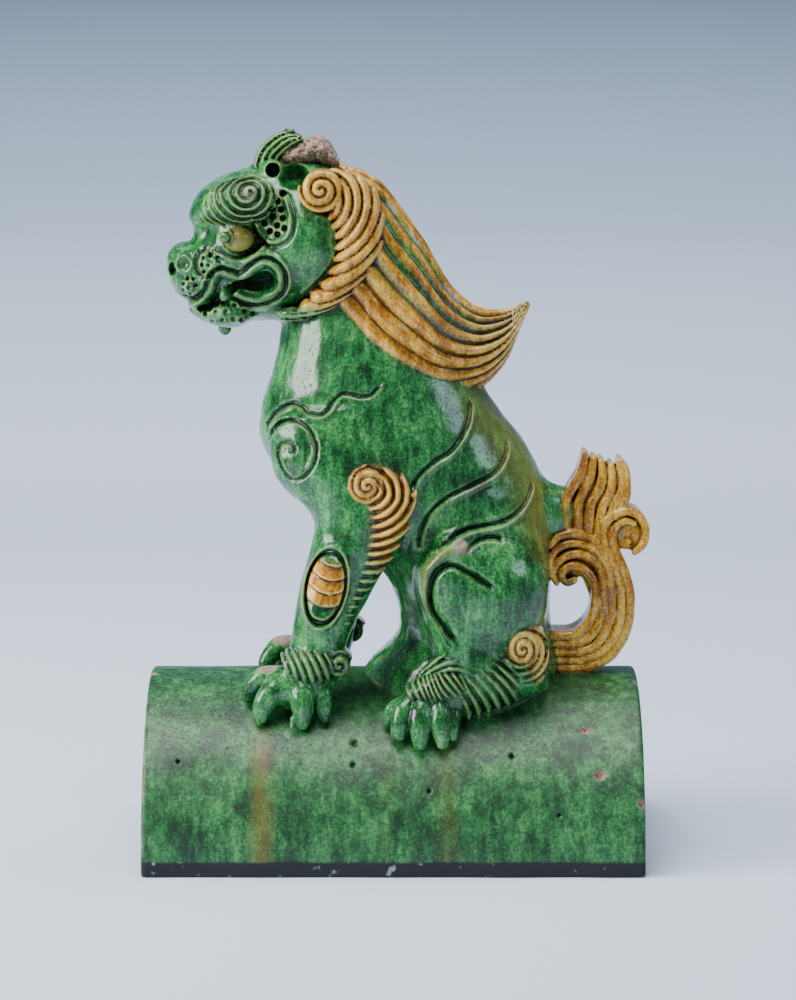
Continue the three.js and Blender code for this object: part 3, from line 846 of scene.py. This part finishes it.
HEEL_SWELL = Boss(73.5, 116.5, 49, 13.2, 13.0, tall=1.38, dome=0.5, edge=5.0)
FOOT = Form([
    [88, 96, 87, 112, 42, 8],
    [76, 92, 76, 116, 46, 12],
    [58, 86, 56, 116, 52, 14],
    [40, 82, 38, 113, 57, 14.5],
    [24, 82, 22, 104, 61, 13.5],
    [12, 80, 12, 96, 62, 10.5],
])
FRINGE = Form([
    [8, 101, 6, 95, 62, 7],
    [16, 107, 12, 92, 62.5, 11.5],
    [25, 111, 22, 91, 62, 13.5],
    [35, 111, 32, 90.5, 60.5, 13.5],
    [44, 107, 40, 92, 58, 12],
])
TUFT = Form([
    [14, 108, 12, 103, 58, 6],
    [23, 115.5, 21, 106, 58, 11],
    [32, 118.5, 32, 107, 57, 12.5],
    [44, 114.5, 46, 103, 55, 12],
    [56, 110, 58, 100, 52, 11],
])
HIND_TOES = [
    Cord([(5, 62, 92), (-1, 64, 88), (-3, 65, 81)], [3.6, 3.6, 2.6]),
    Cord([(12, 65, 93), (6, 69, 88), (4, 71.5, 81), (3, 73, 75)], [6, 6.4, 5.8, 3.8]),
    Cord([(18, 67, 93), (15.5, 72, 87), (15, 75, 79), (15, 76.5, 71.5)], [6, 6.8, 6.2, 4]),
    Cord([(25.5, 67, 93), (26.5, 72, 87), (26.5, 75, 79), (27.5, 76, 71.5)], [6, 6.4, 5.8, 3.8]),
    Cord([(32, 65, 92), (33.5, 69, 87), (33.5, 72, 80), (33.5, 73.5, 74)], [3.8, 4.2, 3.8, 2.6]),
]


def heel_ribs(spot):
    dx, dz = spot.x - HEEL_SPIRAL[0], spot.z - HEEL_SPIRAL[1]
    rho = np.hypot(dx, dz)
    angle = np.arctan2(dz, dx)
    return 2.6 * crest((rho + 2.2 * angle) / 4.4) - 1.4


def heel_whorl(spot):
    return 2.2 * crest(whorl(spot, *HEEL_SPIRAL, 4.3, tall=1.2) + 0.5) - 1.5


def tuft_locks(spot):
    return 2.2 * crest(spot.u * 1.3 + 1.1 * spot.t + 0.2 * spot.x / 10) - 1.1


def fringe_ribs(spot):
    fan = spot.x * (1 + 0.012 * (spot.z - 92)) + 0.3 * (spot.z - 100)
    return 2.4 * crest(fan / 3.7 + 0.3 * np.sin(0.3 * spot.x)) - 1.2


def foot_slots(spot):
    phase = (spot.x + 0.75 * (spot.z - 100) + 0.02 * (spot.z - 100) ** 2) / 5.9
    depth = 3.4 * ramp(spot.x, 34, 44) * ramp(-spot.x, -76, -64)
    return depth * (wave(phase) ** 0.8 - 0.6)


def add_hindlegs(clay):
    clay.add(KNEE, 6)
    clay.mark(
        KNEE_RIDGE, lambda s: -2.6 * bell(s.s, 3.6), pale=lambda s: 0.5 * ramp(s.t, 0.2, 0.5)
    )
    clay.mark(KNEE_GROOVE, groove(3.8, 1.9))
    clay.mark(KNEE_TOP, groove(2.2, 1.3, 0.8))
    clay.tint_near((37, 66, 180), 5.5, bare=0.75)
    clay.add(FOOT, 3, foot_slots)
    clay.add(HEEL_SWELL, 2.0, heel_ribs, amber=lambda s: 0.75 * ramp(s.x + 0.4 * s.z, 116, 128))
    clay.add(HEEL_BOSS, 0.8, heel_whorl, amber=0.75)
    clay.add(TUFT, 1.0, tuft_locks)
    for toe in HIND_TOES:
        clay.add(toe, 1.0)
    clay.add(FRINGE, 0.8, fringe_ribs)


# ---- tail ----

TAIL_ROOT = Form([
    [66, 226, 70, 188, 0, 24],
    [84, 212, 84, 176, 0, 18],
    [94, 206.5, 96, 172, 0, 13],
    [106, 204, 102, 174, 0, 10],
])
TAIL_CORE = Form([
    [78, 121, 78, 96, 0, 9],
    [94, 120, 97, 98, 0, 9],
    [104, 122, 117, 105, 0, 9],
    [111, 130, 130, 117, 0, 9],
    [113, 139, 134, 133, 0, 9],
    [110, 149, 134, 148, 0, 9],
    [104, 160, 130, 163, 0, 9],
    [98, 172, 128, 176, 0, 9],
    [96, 186, 130, 184, 0, 8],
    [98, 198, 133, 196, 0, 9],
    [105, 212, 132, 206, 0, 8.5],
    [110, 220, 131, 216, 0, 7],
])
LOCK_CORE = Ball((98.5, 0, 162.5), (13, 10, 13))
FLAMES = [
    [(100.7, 178), (98, 189.4), (98.4, 197.3), (102.7, 206.2), (107, 213.2), (108.7, 220.3),
     (109.3, 225.5)],
    [(105.9, 178), (105.5, 190.3), (106.3, 198.2), (109.7, 206.2), (112.6, 212.3),
     (113.7, 218.5), (114.2, 222.6)],
    [(111.6, 178), (112.2, 190.3), (113.3, 197.3), (117.4, 204.4), (119.3, 212.3),
     (118.9, 218.6), (118.3, 221.2)],
    [(116.6, 178), (118.6, 189.4), (120, 196.4), (123.8, 202.6), (125.2, 209.7), (124.6, 215.2),
     (124.2, 218.6)],
    [(121.2, 181), (124.7, 190), (126.6, 197.2), (130, 203.4), (130.6, 210.4), (129.7, 217),
     (129.4, 221.2)],
    [(127.4, 189.4), (130.6, 194.7), (132.6, 200.9), (133.4, 207.9), (132.6, 214.4),
     (131.8, 218.3)],
]
LOCKS = [
    [(82, 121), (94.4, 120.4), (103.3, 120.8), (110.6, 125.6), (115.2, 134.4), (116.2, 145.4),
     (114.3, 153.6), (109.6, 159), (102.9, 161.2), (97.6, 158.4), (96.4, 154), (99.4, 151.2),
     (103.6, 152.8)],
    [(82, 116), (94.5, 115.8), (104.1, 115.8), (113.7, 120.6), (119.6, 132), (120.8, 144.5),
     (119.4, 155.4), (114.8, 163.6), (107.2, 168.2), (98.9, 166.6), (93, 161.8), (91.2, 155.6),
     (93.6, 150.8)],
    [(82, 111), (94.5, 110.9), (105.9, 110.9), (116.4, 115.1), (123.8, 128.5), (125.6, 141.8),
     (124, 154.3), (120.6, 163.9), (113.5, 171.5), (104.6, 174.2), (96.2, 172.4), (90.4, 166.4),
     (88.8, 160.6)],
    [(124, 154.3), (120.8, 166.5), (116.6, 174.4), (110, 178.2), (101.9, 179.6), (94.1, 177.6),
     (89.4, 172.6)],
]
CURLS = [
    [(82, 106), (94.5, 106), (107.7, 106.2), (120, 110.8), (129.1, 124.9), (130.8, 140),
     (129, 154.3), (125, 166), (121, 173.4), (119.4, 180.1), (121.6, 186.4), (127.6, 191),
     (135, 192.3), (141.4, 188.7), (144.4, 181.1), (143.1, 173.4), (138.2, 168.8)],
    [(94, 101.5), (110.4, 101.8), (122.9, 106.9), (131.6, 117.6), (135.6, 131.3), (135.6, 145.3),
     (132.3, 158.1), (127.7, 168.2), (125, 176.3), (127, 183.3), (132.5, 187), (137.4, 185.4)],
]
CURL_END = Ball((134.4, 0, 175.2), (3.2, 13.4, 3.2))
CURL_CORE = Boss(134.6, 179.2, 0, 10.0, 9.5)


def add_tail(clay):
    def shaded(spot):
        return 1.0 - 0.75 * bell(np.hypot(spot.x - 100, spot.z - 146), 9.0)

    clay.add(TAIL_ROOT, 5)
    clay.add(TAIL_CORE, 2, amber=1.0)
    clay.add(LOCK_CORE, 2, amber=shaded)
    clay.add(CURL_CORE, 2, amber=1.0)
    for path in FLAMES:
        clay.add(Strip(path, 2.85, 11.8), 0.5, amber=1.0)
    for path in LOCKS:
        clay.add(Strip(path, 2.8, 13.6), 0.5, amber=shaded)
    for path in CURLS:
        clay.add(Strip(path, 2.8, 13.3), 0.5, amber=1.0)
    clay.add(CURL_END, 0.5, amber=1.0)


# ---- tile, and the whole piece ----

# Chips through the glaze: x, degrees down from the top, half width, half height.
CHIPS = [
    (108, 40, 3.4, 2.2), (115, 56.5, 3.2, 2.8), (139, 14, 2.5, 3.5), (-138, 7, 1.8, 2.2),
    (138, 66, 2.0, 3.0),
]
# Firing pits: x, degrees down from the top, radius.
PITS = [
    (-21.5, 45, 2.2), (-22.5, 53, 1.5), (-120, 52, 1.2), (20, 62, 1.3), (66, 50, 1.4),
    (92, 70, 1.2),
]
CHIP_DEPTH = 2.2
PIT_DEPTH = 2.5
CHIP_TOP = 110.0


def surface_ball(x, degrees, rx, rz, depth):
    turn = math.radians(degrees)
    return Ball((x, TILE_RADIUS * math.sin(turn), TILE_RADIUS * math.cos(turn)), (rx, depth, rz))


def chip_floor(spot):
    return 0.5 * np.sin(2.1 * spot.x + 1.7 * spot.z)


def add_tile(clay):
    round_tile = np.hypot(clay.y, clay.z) - TILE_RADIUS - 0.35 * unevenness(clay, 46.0)
    ends = np.abs(clay.x) - TILE_LENGTH / 2
    tile = smooth_max(round_tile, ends, 3.0)
    gap = clay.d - tile
    if clay.tags:
        clay.tint(np.clip(0.5 + gap / TAG_FEATHER, 0.0, 1.0), None, {})
    soft = np.maximum(2.0 - np.abs(gap), 0.0)
    clay.d = np.minimum(clay.d, tile) - soft * soft / 8.0
    if clay.z.min() < CHIP_TOP:
        for x, degrees, rx, rz in CHIPS:
            clay.cut(surface_ball(x, degrees, rx, rz, CHIP_DEPTH), 0.6, chip_floor, bare=1.0)
        for x, degrees, radius in PITS:
            clay.cut(surface_ball(x, degrees, radius, radius, PIT_DEPTH), 1.0)
    channel = TILE_RADIUS - TILE_WALL - np.hypot(clay.y, clay.z)
    clay.d = smooth_max(clay.d, np.maximum(channel, -clay.z), 1.5)


def press_clay(clay):
    add_body(clay)
    add_forelegs(clay)
    add_hindlegs(clay)
    add_tail(clay)
    carve_body(clay)
    add_head(clay)
    add_mane(clay)
    add_crest(clay)
    clay.d = clay.d - 0.3 * unevenness(clay, 15.0)
    add_tile(clay)


def probe(points, reach, coloured=False):
    """The distance from the clay, and the glaze tags, at many points."""
    cells = np.floor(points / CHUNK).astype(np.int64) + 64
    keys = (cells[:, 0] * 256 + cells[:, 1]) * 256 + cells[:, 2]
    order = np.argsort(keys, kind="stable")
    starts = np.flatnonzero(np.diff(keys[order], prepend=-1))
    distance = np.empty(len(points))
    tags = {name: np.zeros(len(points)) for name in TAGS} if coloured else {}
    groups = np.split(order, starts[1:])

    def fill(chosen):
        clay = Clay(points[chosen], reach, coloured)
        press_clay(clay)
        distance[chosen] = clay.d
        for name in tags:
            tags[name][chosen] = clay.tags[name]

    with ThreadPoolExecutor(WORKERS) as pooled_glaze_and_painted_shade:
        list(pooled_glaze_and_painted_shade.map(fill, groups))
    return (distance, tags) if coloured else distance


def cell_centres(where, step):
    return GRID_LOW + (np.column_stack(where) + 0.5) * step


def fill_grid():
    """Distances on a fine grid, worked out only near the surface, from coarse to fine."""
    step = COARSEST
    counts = np.round((GRID_HIGH - GRID_LOW) / step).astype(int)
    field = np.empty(counts, np.float32)
    every = np.nonzero(np.ones(counts, bool))
    field[every] = probe(cell_centres(every, step), 14.0)
    while step > VOXEL:
        field = field.repeat(2, 0).repeat(2, 1).repeat(2, 2)
        limit = 0.87 * step + 0.6
        step /= 2
        near = np.nonzero(np.abs(field) < limit)
        field[near] = probe(cell_centres(near, step), 0.95 * step + 1.5)
    return np.clip(field, -2 * VOXEL, 2 * VOXEL)


def skin_grid(field):
    """The closed surface where the distance is zero, in millimetres."""
    grid = openvdb.FloatGrid(2 * VOXEL)
    grid.copyFromArray(field)
    points, triangles, quads = grid.convertToPolygons(isovalue=0.0, adaptivity=0.0)
    points = GRID_LOW + (points.astype(float) + 0.5) * VOXEL
    halves = np.vstack([quads[:, [0, 1, 2]], quads[:, [0, 2, 3]]])
    faces = np.vstack([triangles.reshape(-1, 3), halves]).astype(np.int64)
    corners = points[faces]
    volume = np.einsum("ij,ij->i", corners[:, 0], np.cross(corners[:, 1], corners[:, 2])).sum()
    return points, faces if volume > 0 else faces[:, ::-1]


def mesh_from(points, faces, name):
    mesh = bpy.data.meshes.new(name)
    mesh.vertices.add(len(points))
    mesh.vertices.foreach_set("co", points.astype(np.float32).ravel())
    mesh.loops.add(faces.size)
    mesh.loops.foreach_set("vertex_index", faces.astype(np.int32).ravel())
    mesh.polygons.add(len(faces))
    mesh.polygons.foreach_set("loop_start", np.arange(0, faces.size, 3, dtype=np.int32))
    mesh.update(calc_edges=True)
    mesh.validate()
    return mesh


def thin_out(mesh):
    """Draws the mesh together to the face limit, with small faces kept where it curves."""
    carrier = bpy.data.objects.new("carrier", mesh)
    bpy.context.scene.collection.objects.link(carrier)
    decimate = carrier.modifiers.new("thin out", "DECIMATE")
    decimate.ratio = min(1.0, FACE_LIMIT / len(mesh.polygons))
    result = bpy.data.meshes.new_from_object(
        carrier.evaluated_get(bpy.context.evaluated_depsgraph_get())
    )
    bpy.data.objects.remove(carrier)
    return result


TETRA = np.array([[1, 1, 1], [1, -1, -1], [-1, 1, -1], [-1, -1, 1]]) / math.sqrt(3)


def around(points, step, reach):
    """Distances at the corners of a small tetrahedron round each point."""
    ring = (points[:, None, :] + TETRA[None] * step).reshape(-1, 3)
    return probe(ring, reach).reshape(-1, 4)


def settle(points):
    """Moves points onto the true surface and returns them with their outward normals."""
    for step in (0.45,):
        ring = around(points, step, 3.0)
        slope = ring @ TETRA * (0.75 / step)
        steep = np.maximum((slope**2).sum(1), 0.25)
        move = -ring.mean(1)[:, None] * slope / steep[:, None]
        size = np.linalg.norm(move, axis=1, keepdims=True)
        points = points + move * np.minimum(1.0, 0.6 / np.maximum(size, 1e-6))
    slope = around(points, 0.4, 3.0) @ TETRA
    return points, slope / np.maximum(np.linalg.norm(slope, axis=1, keepdims=True), 1e-9)


def make_beast():
    """The whole piece as one mesh, with its glaze tags and curvature as attributes."""
    points, faces = skin_grid(fill_grid())
    mesh = thin_out(mesh_from(points, faces, NODE + "_glazed"))
    count = len(mesh.vertices)
    points = np.empty(count * 3)
    mesh.vertices.foreach_get("co", points)
    points, normals = settle(points.reshape(-1, 3))
    distance, tags = probe(points, 6.0, coloured=True)
    # Curvature at each point: high on ridges (thin glaze plus painted highlight), low in hollows
    # (pooled glaze plus painted shade).
    tags["edge_glaze_and_painted_highlight"] = (around(points, 1.3, 5.0).mean(1) - distance) / 1.3
    tags["pooled_glaze_and_painted_shade"] = (around(points, 4.0, 8.0).mean(1) - distance) / 4.0
    mesh.vertices.foreach_set("co", ((points + SHIFT) * MM).astype(np.float32).ravel())
    mesh.update()
    for name, values in tags.items():
        layer = mesh.attributes.new(name, "FLOAT", "POINT")
        layer.data.foreach_set("value", values.astype(np.float32))
    mesh.shade_smooth()
    mesh.normals_split_custom_set_from_vertices(normals.tolist())
    piece = bpy.data.objects.new("glazed_ridge_beast", mesh)
    bpy.context.scene.collection.objects.link(piece)
    return piece


tile_low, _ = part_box(NODE)
SHIFT = np.array([tile_low.x / MM + TILE_LENGTH / 2, 0.0, 0.0])

beast = make_beast()

# ---- glaze ----


def linear(colour):
    """An sRGB hex colour as a linear RGBA one."""
    parts = [int(colour[k : k + 2], 16) / 255 for k in (1, 3, 5)]
    return [p / 12.92 if p <= 0.04045 else ((p + 0.055) / 1.055) ** 2.4 for p in parts] + [1.0]


def per_mm(size):
    """The texture scale that makes features of that many millimetres."""
    return 1.0 / (size * MM)


def new_tree(name):
    material = bpy.data.materials.new(name)
    material.use_nodes = True
    material.node_tree.nodes.clear()
    return material, material.node_tree


def add(tree, kind, inputs=None, out=0, stops=None, **settings):
    """Adds a node whose inputs are values or other nodes' outputs, and gives its output."""
    node = tree.nodes.new(kind)
    for name, value in settings.items():
        setattr(node, name, value)
    for socket, value in (inputs or {}).items():
        if isinstance(value, bpy.types.NodeSocket):
            tree.links.new(value, node.inputs[socket])
        else:
            node.inputs[socket].default_value = value
    for k, (position, colour) in enumerate(stops or []):
        ramp_stops = node.color_ramp.elements
        stop = ramp_stops[k] if k < 2 else ramp_stops.new(position)
        stop.position = position
        stop.color = linear(colour)
    return node.outputs[out]


# A glassy lead glaze, wet-looking and uneven: deep green or honey amber, darkened in the hollows by
# pooled glaze and painted shade, straw-coloured on the ridges where it drained off and where a
# highlight is painted, duller on the tile, bare clay at breaks.
glaze, t = new_tree("lead_glaze_on_stoneware")
NOISE, RANGE = "ShaderNodeTexNoise", "ShaderNodeMapRange"
MIX, MATH = "ShaderNodeMix", "ShaderNodeMath"
RAMP, TAG = "ShaderNodeValToRGB", "ShaderNodeAttribute"

place = add(t, "ShaderNodeTexCoord", out="Object")
runs = add(t, "ShaderNodeMapping", {0: place, 3: (1.0, 1.0, 0.22)})
parts = {axis: add(t, "ShaderNodeSeparateXYZ", {0: place}, out=axis) for axis in "XYZ"}

# Cloudy lights and darks where the glaze lies thick or thin, and where it ran down.
cloud = add(t, NOISE, {"Vector": place, "Scale": per_mm(22), "Detail": 5.0, "Roughness": 0.65})
streak = add(t, NOISE, {"Vector": runs, "Scale": per_mm(5), "Detail": 4.0, "Roughness": 0.7})
speck = add(t, NOISE, {"Vector": place, "Scale": per_mm(1.7), "Detail": 3.0, "Roughness": 0.75})
lump = add(t, NOISE, {"Vector": place, "Scale": per_mm(55), "Detail": 1.0})
tone = add(t, MATH, {0: add(t, MATH, {0: cloud, 1: streak}), 1: speck})
tone = add(t, RANGE, {0: tone, 1: 1.2, 2: 1.85})

green = add(t, RAMP, {0: tone}, stops=[
    (0.12, "#0b3317"), (0.88, "#5da85a"), (0.38, "#1c5e2b"), (0.62, "#348142"),
])
amber = add(t, RAMP, {0: tone}, stops=[
    (0.1, "#86500f"), (0.9, "#f5cb58"), (0.38, "#b97a17"), (0.64, "#e0a832"),
])

# The glaze drains off sharp edges, which show olive or straw, and gathers in hollows. On top of
# that, the ridges carry a painted highlight and the hollows a near-black painted shade.
fine = add(t, TAG, attribute_name="edge_glaze_and_painted_highlight", out="Fac")
broad = add(t, TAG, attribute_name="pooled_glaze_and_painted_shade", out="Fac")
edge = add(t, MATH, {0: fine, 1: add(t, RANGE, {0: streak, 1: 0.3, 2: 0.7, 3: -0.07, 4: 0.07})})
edge_glaze_and_painted_highlight = add(t, RANGE, {0: edge, 1: 0.10, 2: 0.45, 4: 0.62})
hollow = add(t, MATH, {0: add(t, RANGE, {0: fine, 1: -0.02, 2: -0.34, 4: 0.8}),
                       1: add(t, RANGE, {0: broad, 1: -0.06, 2: -0.5, 4: 0.55})}, use_clamp=True)
# Painted shade and painted highlight: green and amber go near black in the hollows and pale straw
# on the ridges, over the glaze's real pooling and thinning.
green = add(t, MIX, {0: hollow, 6: green, 7: linear("#04140b")}, out=2, data_type="RGBA")
green = add(t, MIX, {0: edge_glaze_and_painted_highlight, 6: green, 7: linear("#9fb068")}, out=2, data_type="RGBA")
amber = add(t, MIX, {0: hollow, 6: amber, 7: linear("#2e1608")}, out=2, data_type="RGBA")
amber = add(t, MIX, {0: edge_glaze_and_painted_highlight, 6: amber, 7: linear("#f5d680")}, out=2, data_type="RGBA")

# The tile's glaze is darker and duller than the beast's.
section = add(t, "ShaderNodeMapping", {0: place, 3: (0.0, 1.0, 1.0)})
from_axis = add(t, "ShaderNodeVectorMath", {0: section}, out="Value", operation="LENGTH")
on_tile = add(t, RANGE, {0: from_axis, 1: 0.1012, 2: 0.1000})
green = add(t, MIX, {0: add(t, MATH, {0: on_tile, 1: 0.28}, operation="MULTIPLY"), 6: green,
                     7: linear("#06200f")}, out=2, data_type="RGBA")

# Amber that ran down the tile, and olive on the back above the tail.
DRIP_SPAN = 0.14375
wander = add(t, NOISE, {"Vector": runs, "Scale": per_mm(9), "Detail": 3.0})
across = add(t, MATH, {0: parts["X"], 1: add(t, RANGE, {0: wander, 3: -0.004, 4: 0.004})})
drips = add(t, RAMP, {0: add(t, RANGE, {0: across, 1: -DRIP_SPAN, 2: DRIP_SPAN})}, stops=[
    (0.205, "#000000"), (0.262, "#000000"), (0.226, "#b0b0b0"), (0.238, "#b0b0b0"),
    (0.45, "#000000"), (0.475, "#454545"), (0.495, "#000000"), (0.56, "#000000"),
    (0.59, "#707070"), (0.625, "#000000"),
])
low_down = add(t, RANGE, {0: parts["Z"], 1: 0.079, 2: 0.070})
front = add(t, MATH, {0: parts["Y"], 1: -0.05}, operation="LESS_THAN")
drips = add(t, MATH, {0: drips, 1: add(t, MATH, {0: low_down, 1: front}, operation="MULTIPLY")},
            operation="MULTIPLY")
green = add(t, MIX, {0: drips, 6: green, 7: linear("#7a5a16")}, out=2, data_type="RGBA")
glaze_colour = add(t, MIX, {0: add(t, TAG, attribute_name="amber", out="Fac"), 6: green, 7: amber},
                   out=2, data_type="RGBA")
olive = add(t, TAG, attribute_name="pale", out="Fac")
glaze_colour = add(t, MIX, {0: olive, 6: glaze_colour, 7: linear("#8d8438")},
                   out=2, data_type="RGBA")

# Dull dark band along the tile's foot, where the glaze stops, with pale rubbed patches.
foot = add(t, RANGE, {0: add(t, MATH, {0: parts["Z"], 1: add(t, RANGE, {
    0: cloud, 3: -0.0015, 4: 0.0015})}), 1: 0.0095, 2: 0.0080})
rubbing = add(t, NOISE, {"Vector": place, "Scale": per_mm(7), "Detail": 8.0})
rubbed = add(t, RANGE, {0: rubbing, 1: 0.62, 2: 0.7})
band = add(t, MIX, {0: rubbed, 6: linear("#15191d"), 7: linear("#8b8f92")}, out=2, data_type="RGBA")
glaze_colour = add(t, MIX, {0: foot, 6: glaze_colour, 7: band}, out=2, data_type="RGBA")

# Bare pinkish clay at chips and breaks, and rubbed through at the tile's ends.
clay_colour = add(t, RAMP, {0: speck}, stops=[(0.3, "#6f5547"), (0.7, "#c0a494")])
ends = add(t, RANGE, {0: add(t, MATH, {0: parts["X"]}, operation="ABSOLUTE"), 1: 0.1422, 2: 0.1434})
ends = add(t, MATH, {0: ends, 1: add(t, RANGE, {0: cloud, 1: 0.45, 2: 0.62})}, operation="MULTIPLY")
bare = add(t, MATH, {0: add(t, TAG, attribute_name="bare", out="Fac"), 1: ends}, use_clamp=True)
glaze_colour = add(t, MIX, {0: bare, 6: glaze_colour, 7: clay_colour}, out=2, data_type="RGBA")

dull = add(t, MATH, {0: bare, 1: foot}, operation="MAXIMUM")
glaze_rough = add(t, RANGE, {0: on_tile, 3: 0.17, 4: 0.45})
rough = add(t, MIX, {0: dull, 2: glaze_rough, 3: 0.85})

# The skin of the glaze: faint ripples, small pits and grit.
pits = add(t, RANGE, {0: speck, 1: 0.30, 2: 0.38})
skin = add(t, MATH, {0: add(t, MATH, {0: lump, 1: 1.2}, operation="MULTIPLY"), 1: add(
    t, MATH, {0: streak, 1: 0.5}, operation="MULTIPLY")})
skin = add(t, MATH, {0: skin, 1: add(t, MATH, {0: pits, 1: 0.6}, operation="MULTIPLY")})
bump = add(t, "ShaderNodeBump", {"Height": skin, "Strength": 0.35, "Distance": 0.0006})
surface = add(t, "ShaderNodeBsdfPrincipled", {
    "Base Color": glaze_colour, "Roughness": rough, "IOR": 1.55, "Normal": bump,
})
t.links.new(surface, t.nodes.new("ShaderNodeOutputMaterial").inputs["Surface"])
beast.data.materials.append(glaze)

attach(beast, "root")
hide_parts(NODE)

# ---- stage ----


paper, p = new_tree("pale_blue_grey_paper")
height = add(p, "ShaderNodeSeparateXYZ", {0: add(p, "ShaderNodeTexCoord", out="Object")}, out="Z")
# Painted shade: the paper goes from pale at the floor to slate blue at the top of the backdrop,
# standing in for the light falling off upwards.
backdrop_painted_shade = add(p, RAMP, {0: add(p, RANGE, {0: height, 1: 0.0, 2: 0.5})}, stops=[
    (0.0, "#d6e4f6"), (1.0, "#66778f"), (0.08, "#d9e7f9"), (0.5, "#a5b6cc"),
])
matt = add(p, "ShaderNodeBsdfPrincipled", {"Base Color": backdrop_painted_shade, "Roughness": 0.9})
p.links.new(matt, p.nodes.new("ShaderNodeOutputMaterial").inputs["Surface"])


def make_sweep():
    """A pale floor that curves up into the backdrop behind the piece."""
    bend, start, front, top = 0.8, 1.2, -3.0, 4.0
    profile = [(front, 0.0), (start, 0.0)]
    for angle in np.linspace(0.1, math.pi / 2, 14):
        profile.append((start + bend * math.sin(angle), bend - bend * math.cos(angle)))
    profile.append((start + bend, top))
    points = [(x, y, z) for y, z in profile for x in (-4.0, 4.0)]
    faces = [(2 * k, 2 * k + 1, 2 * k + 3, 2 * k + 2) for k in range(len(profile) - 1)]
    mesh = bpy.data.meshes.new("studio_sweep")
    mesh.from_pydata(points, [], faces)
    mesh.shade_smooth()
    mesh.materials.append(paper)
    sweep = bpy.data.objects.new("studio_sweep", mesh)
    bpy.context.scene.collection.objects.link(sweep)
    return sweep


make_sweep()


def aim(thing, place, target):
    toward = np.array(target) - np.array(place)
    flat = math.hypot(toward[0], toward[1])
    thing.location = place
    thing.rotation_euler = (math.atan2(flat, -toward[2]), 0.0, math.atan2(-toward[0], toward[1]))


def soft_light(name, place, target, size, power, colour="#ffffff"):
    lamp = bpy.data.lights.new(name, "AREA")
    lamp.shape = "RECTANGLE"
    lamp.size, lamp.size_y = size
    lamp.energy = power
    lamp.color = linear(colour)[:3]
    thing = bpy.data.objects.new(name, lamp)
    bpy.context.scene.collection.objects.link(thing)
    aim(thing, place, target)


soft_light("left_softbox", (-1.5, -0.45, 0.8), (0, 0, 0.25), (0.9, 0.9), 38.0)
soft_light("top_softbox", (-0.4, -0.45, 2.3), (0, 0, 0.15), (1.6, 1.0), 50.0)
soft_light("right_softbox", (1.7, -0.7, 1.2), (0, 0, 0.25), (0.7, 0.5), 6.0, "#cfe0ff")
soft_light("backdrop_light", (0.3, 0.5, 2.4), (0.2, 1.9, 0.5), (2.4, 0.8), 40.0)

world = bpy.data.worlds.new("studio")
world.use_nodes = True
world.node_tree.nodes["Background"].inputs["Color"].default_value = linear("#c3cede")
world.node_tree.nodes["Background"].inputs["Strength"].default_value = 0.32
bpy.context.scene.world = world

CAMERA_DISTANCE = 1.980
CAMERA_ELEVATION = math.radians(8.0)
CAMERA_TARGET = (2.6 * MM + float(SHIFT[0]) * MM, 0.0, 197.5 * MM)
CAMERA_LENS = 124.1

camera_data = bpy.data.cameras.new("camera")
camera_data.lens = CAMERA_LENS
camera_data.sensor_width = 36.0
camera = bpy.data.objects.new("camera", camera_data)
bpy.context.scene.collection.objects.link(camera)
aim(
    camera,
    (
        CAMERA_TARGET[0],
        -CAMERA_DISTANCE * math.cos(CAMERA_ELEVATION),
        CAMERA_TARGET[2] + CAMERA_DISTANCE * math.sin(CAMERA_ELEVATION),
    ),
    CAMERA_TARGET,
)
bpy.context.scene.camera = camera
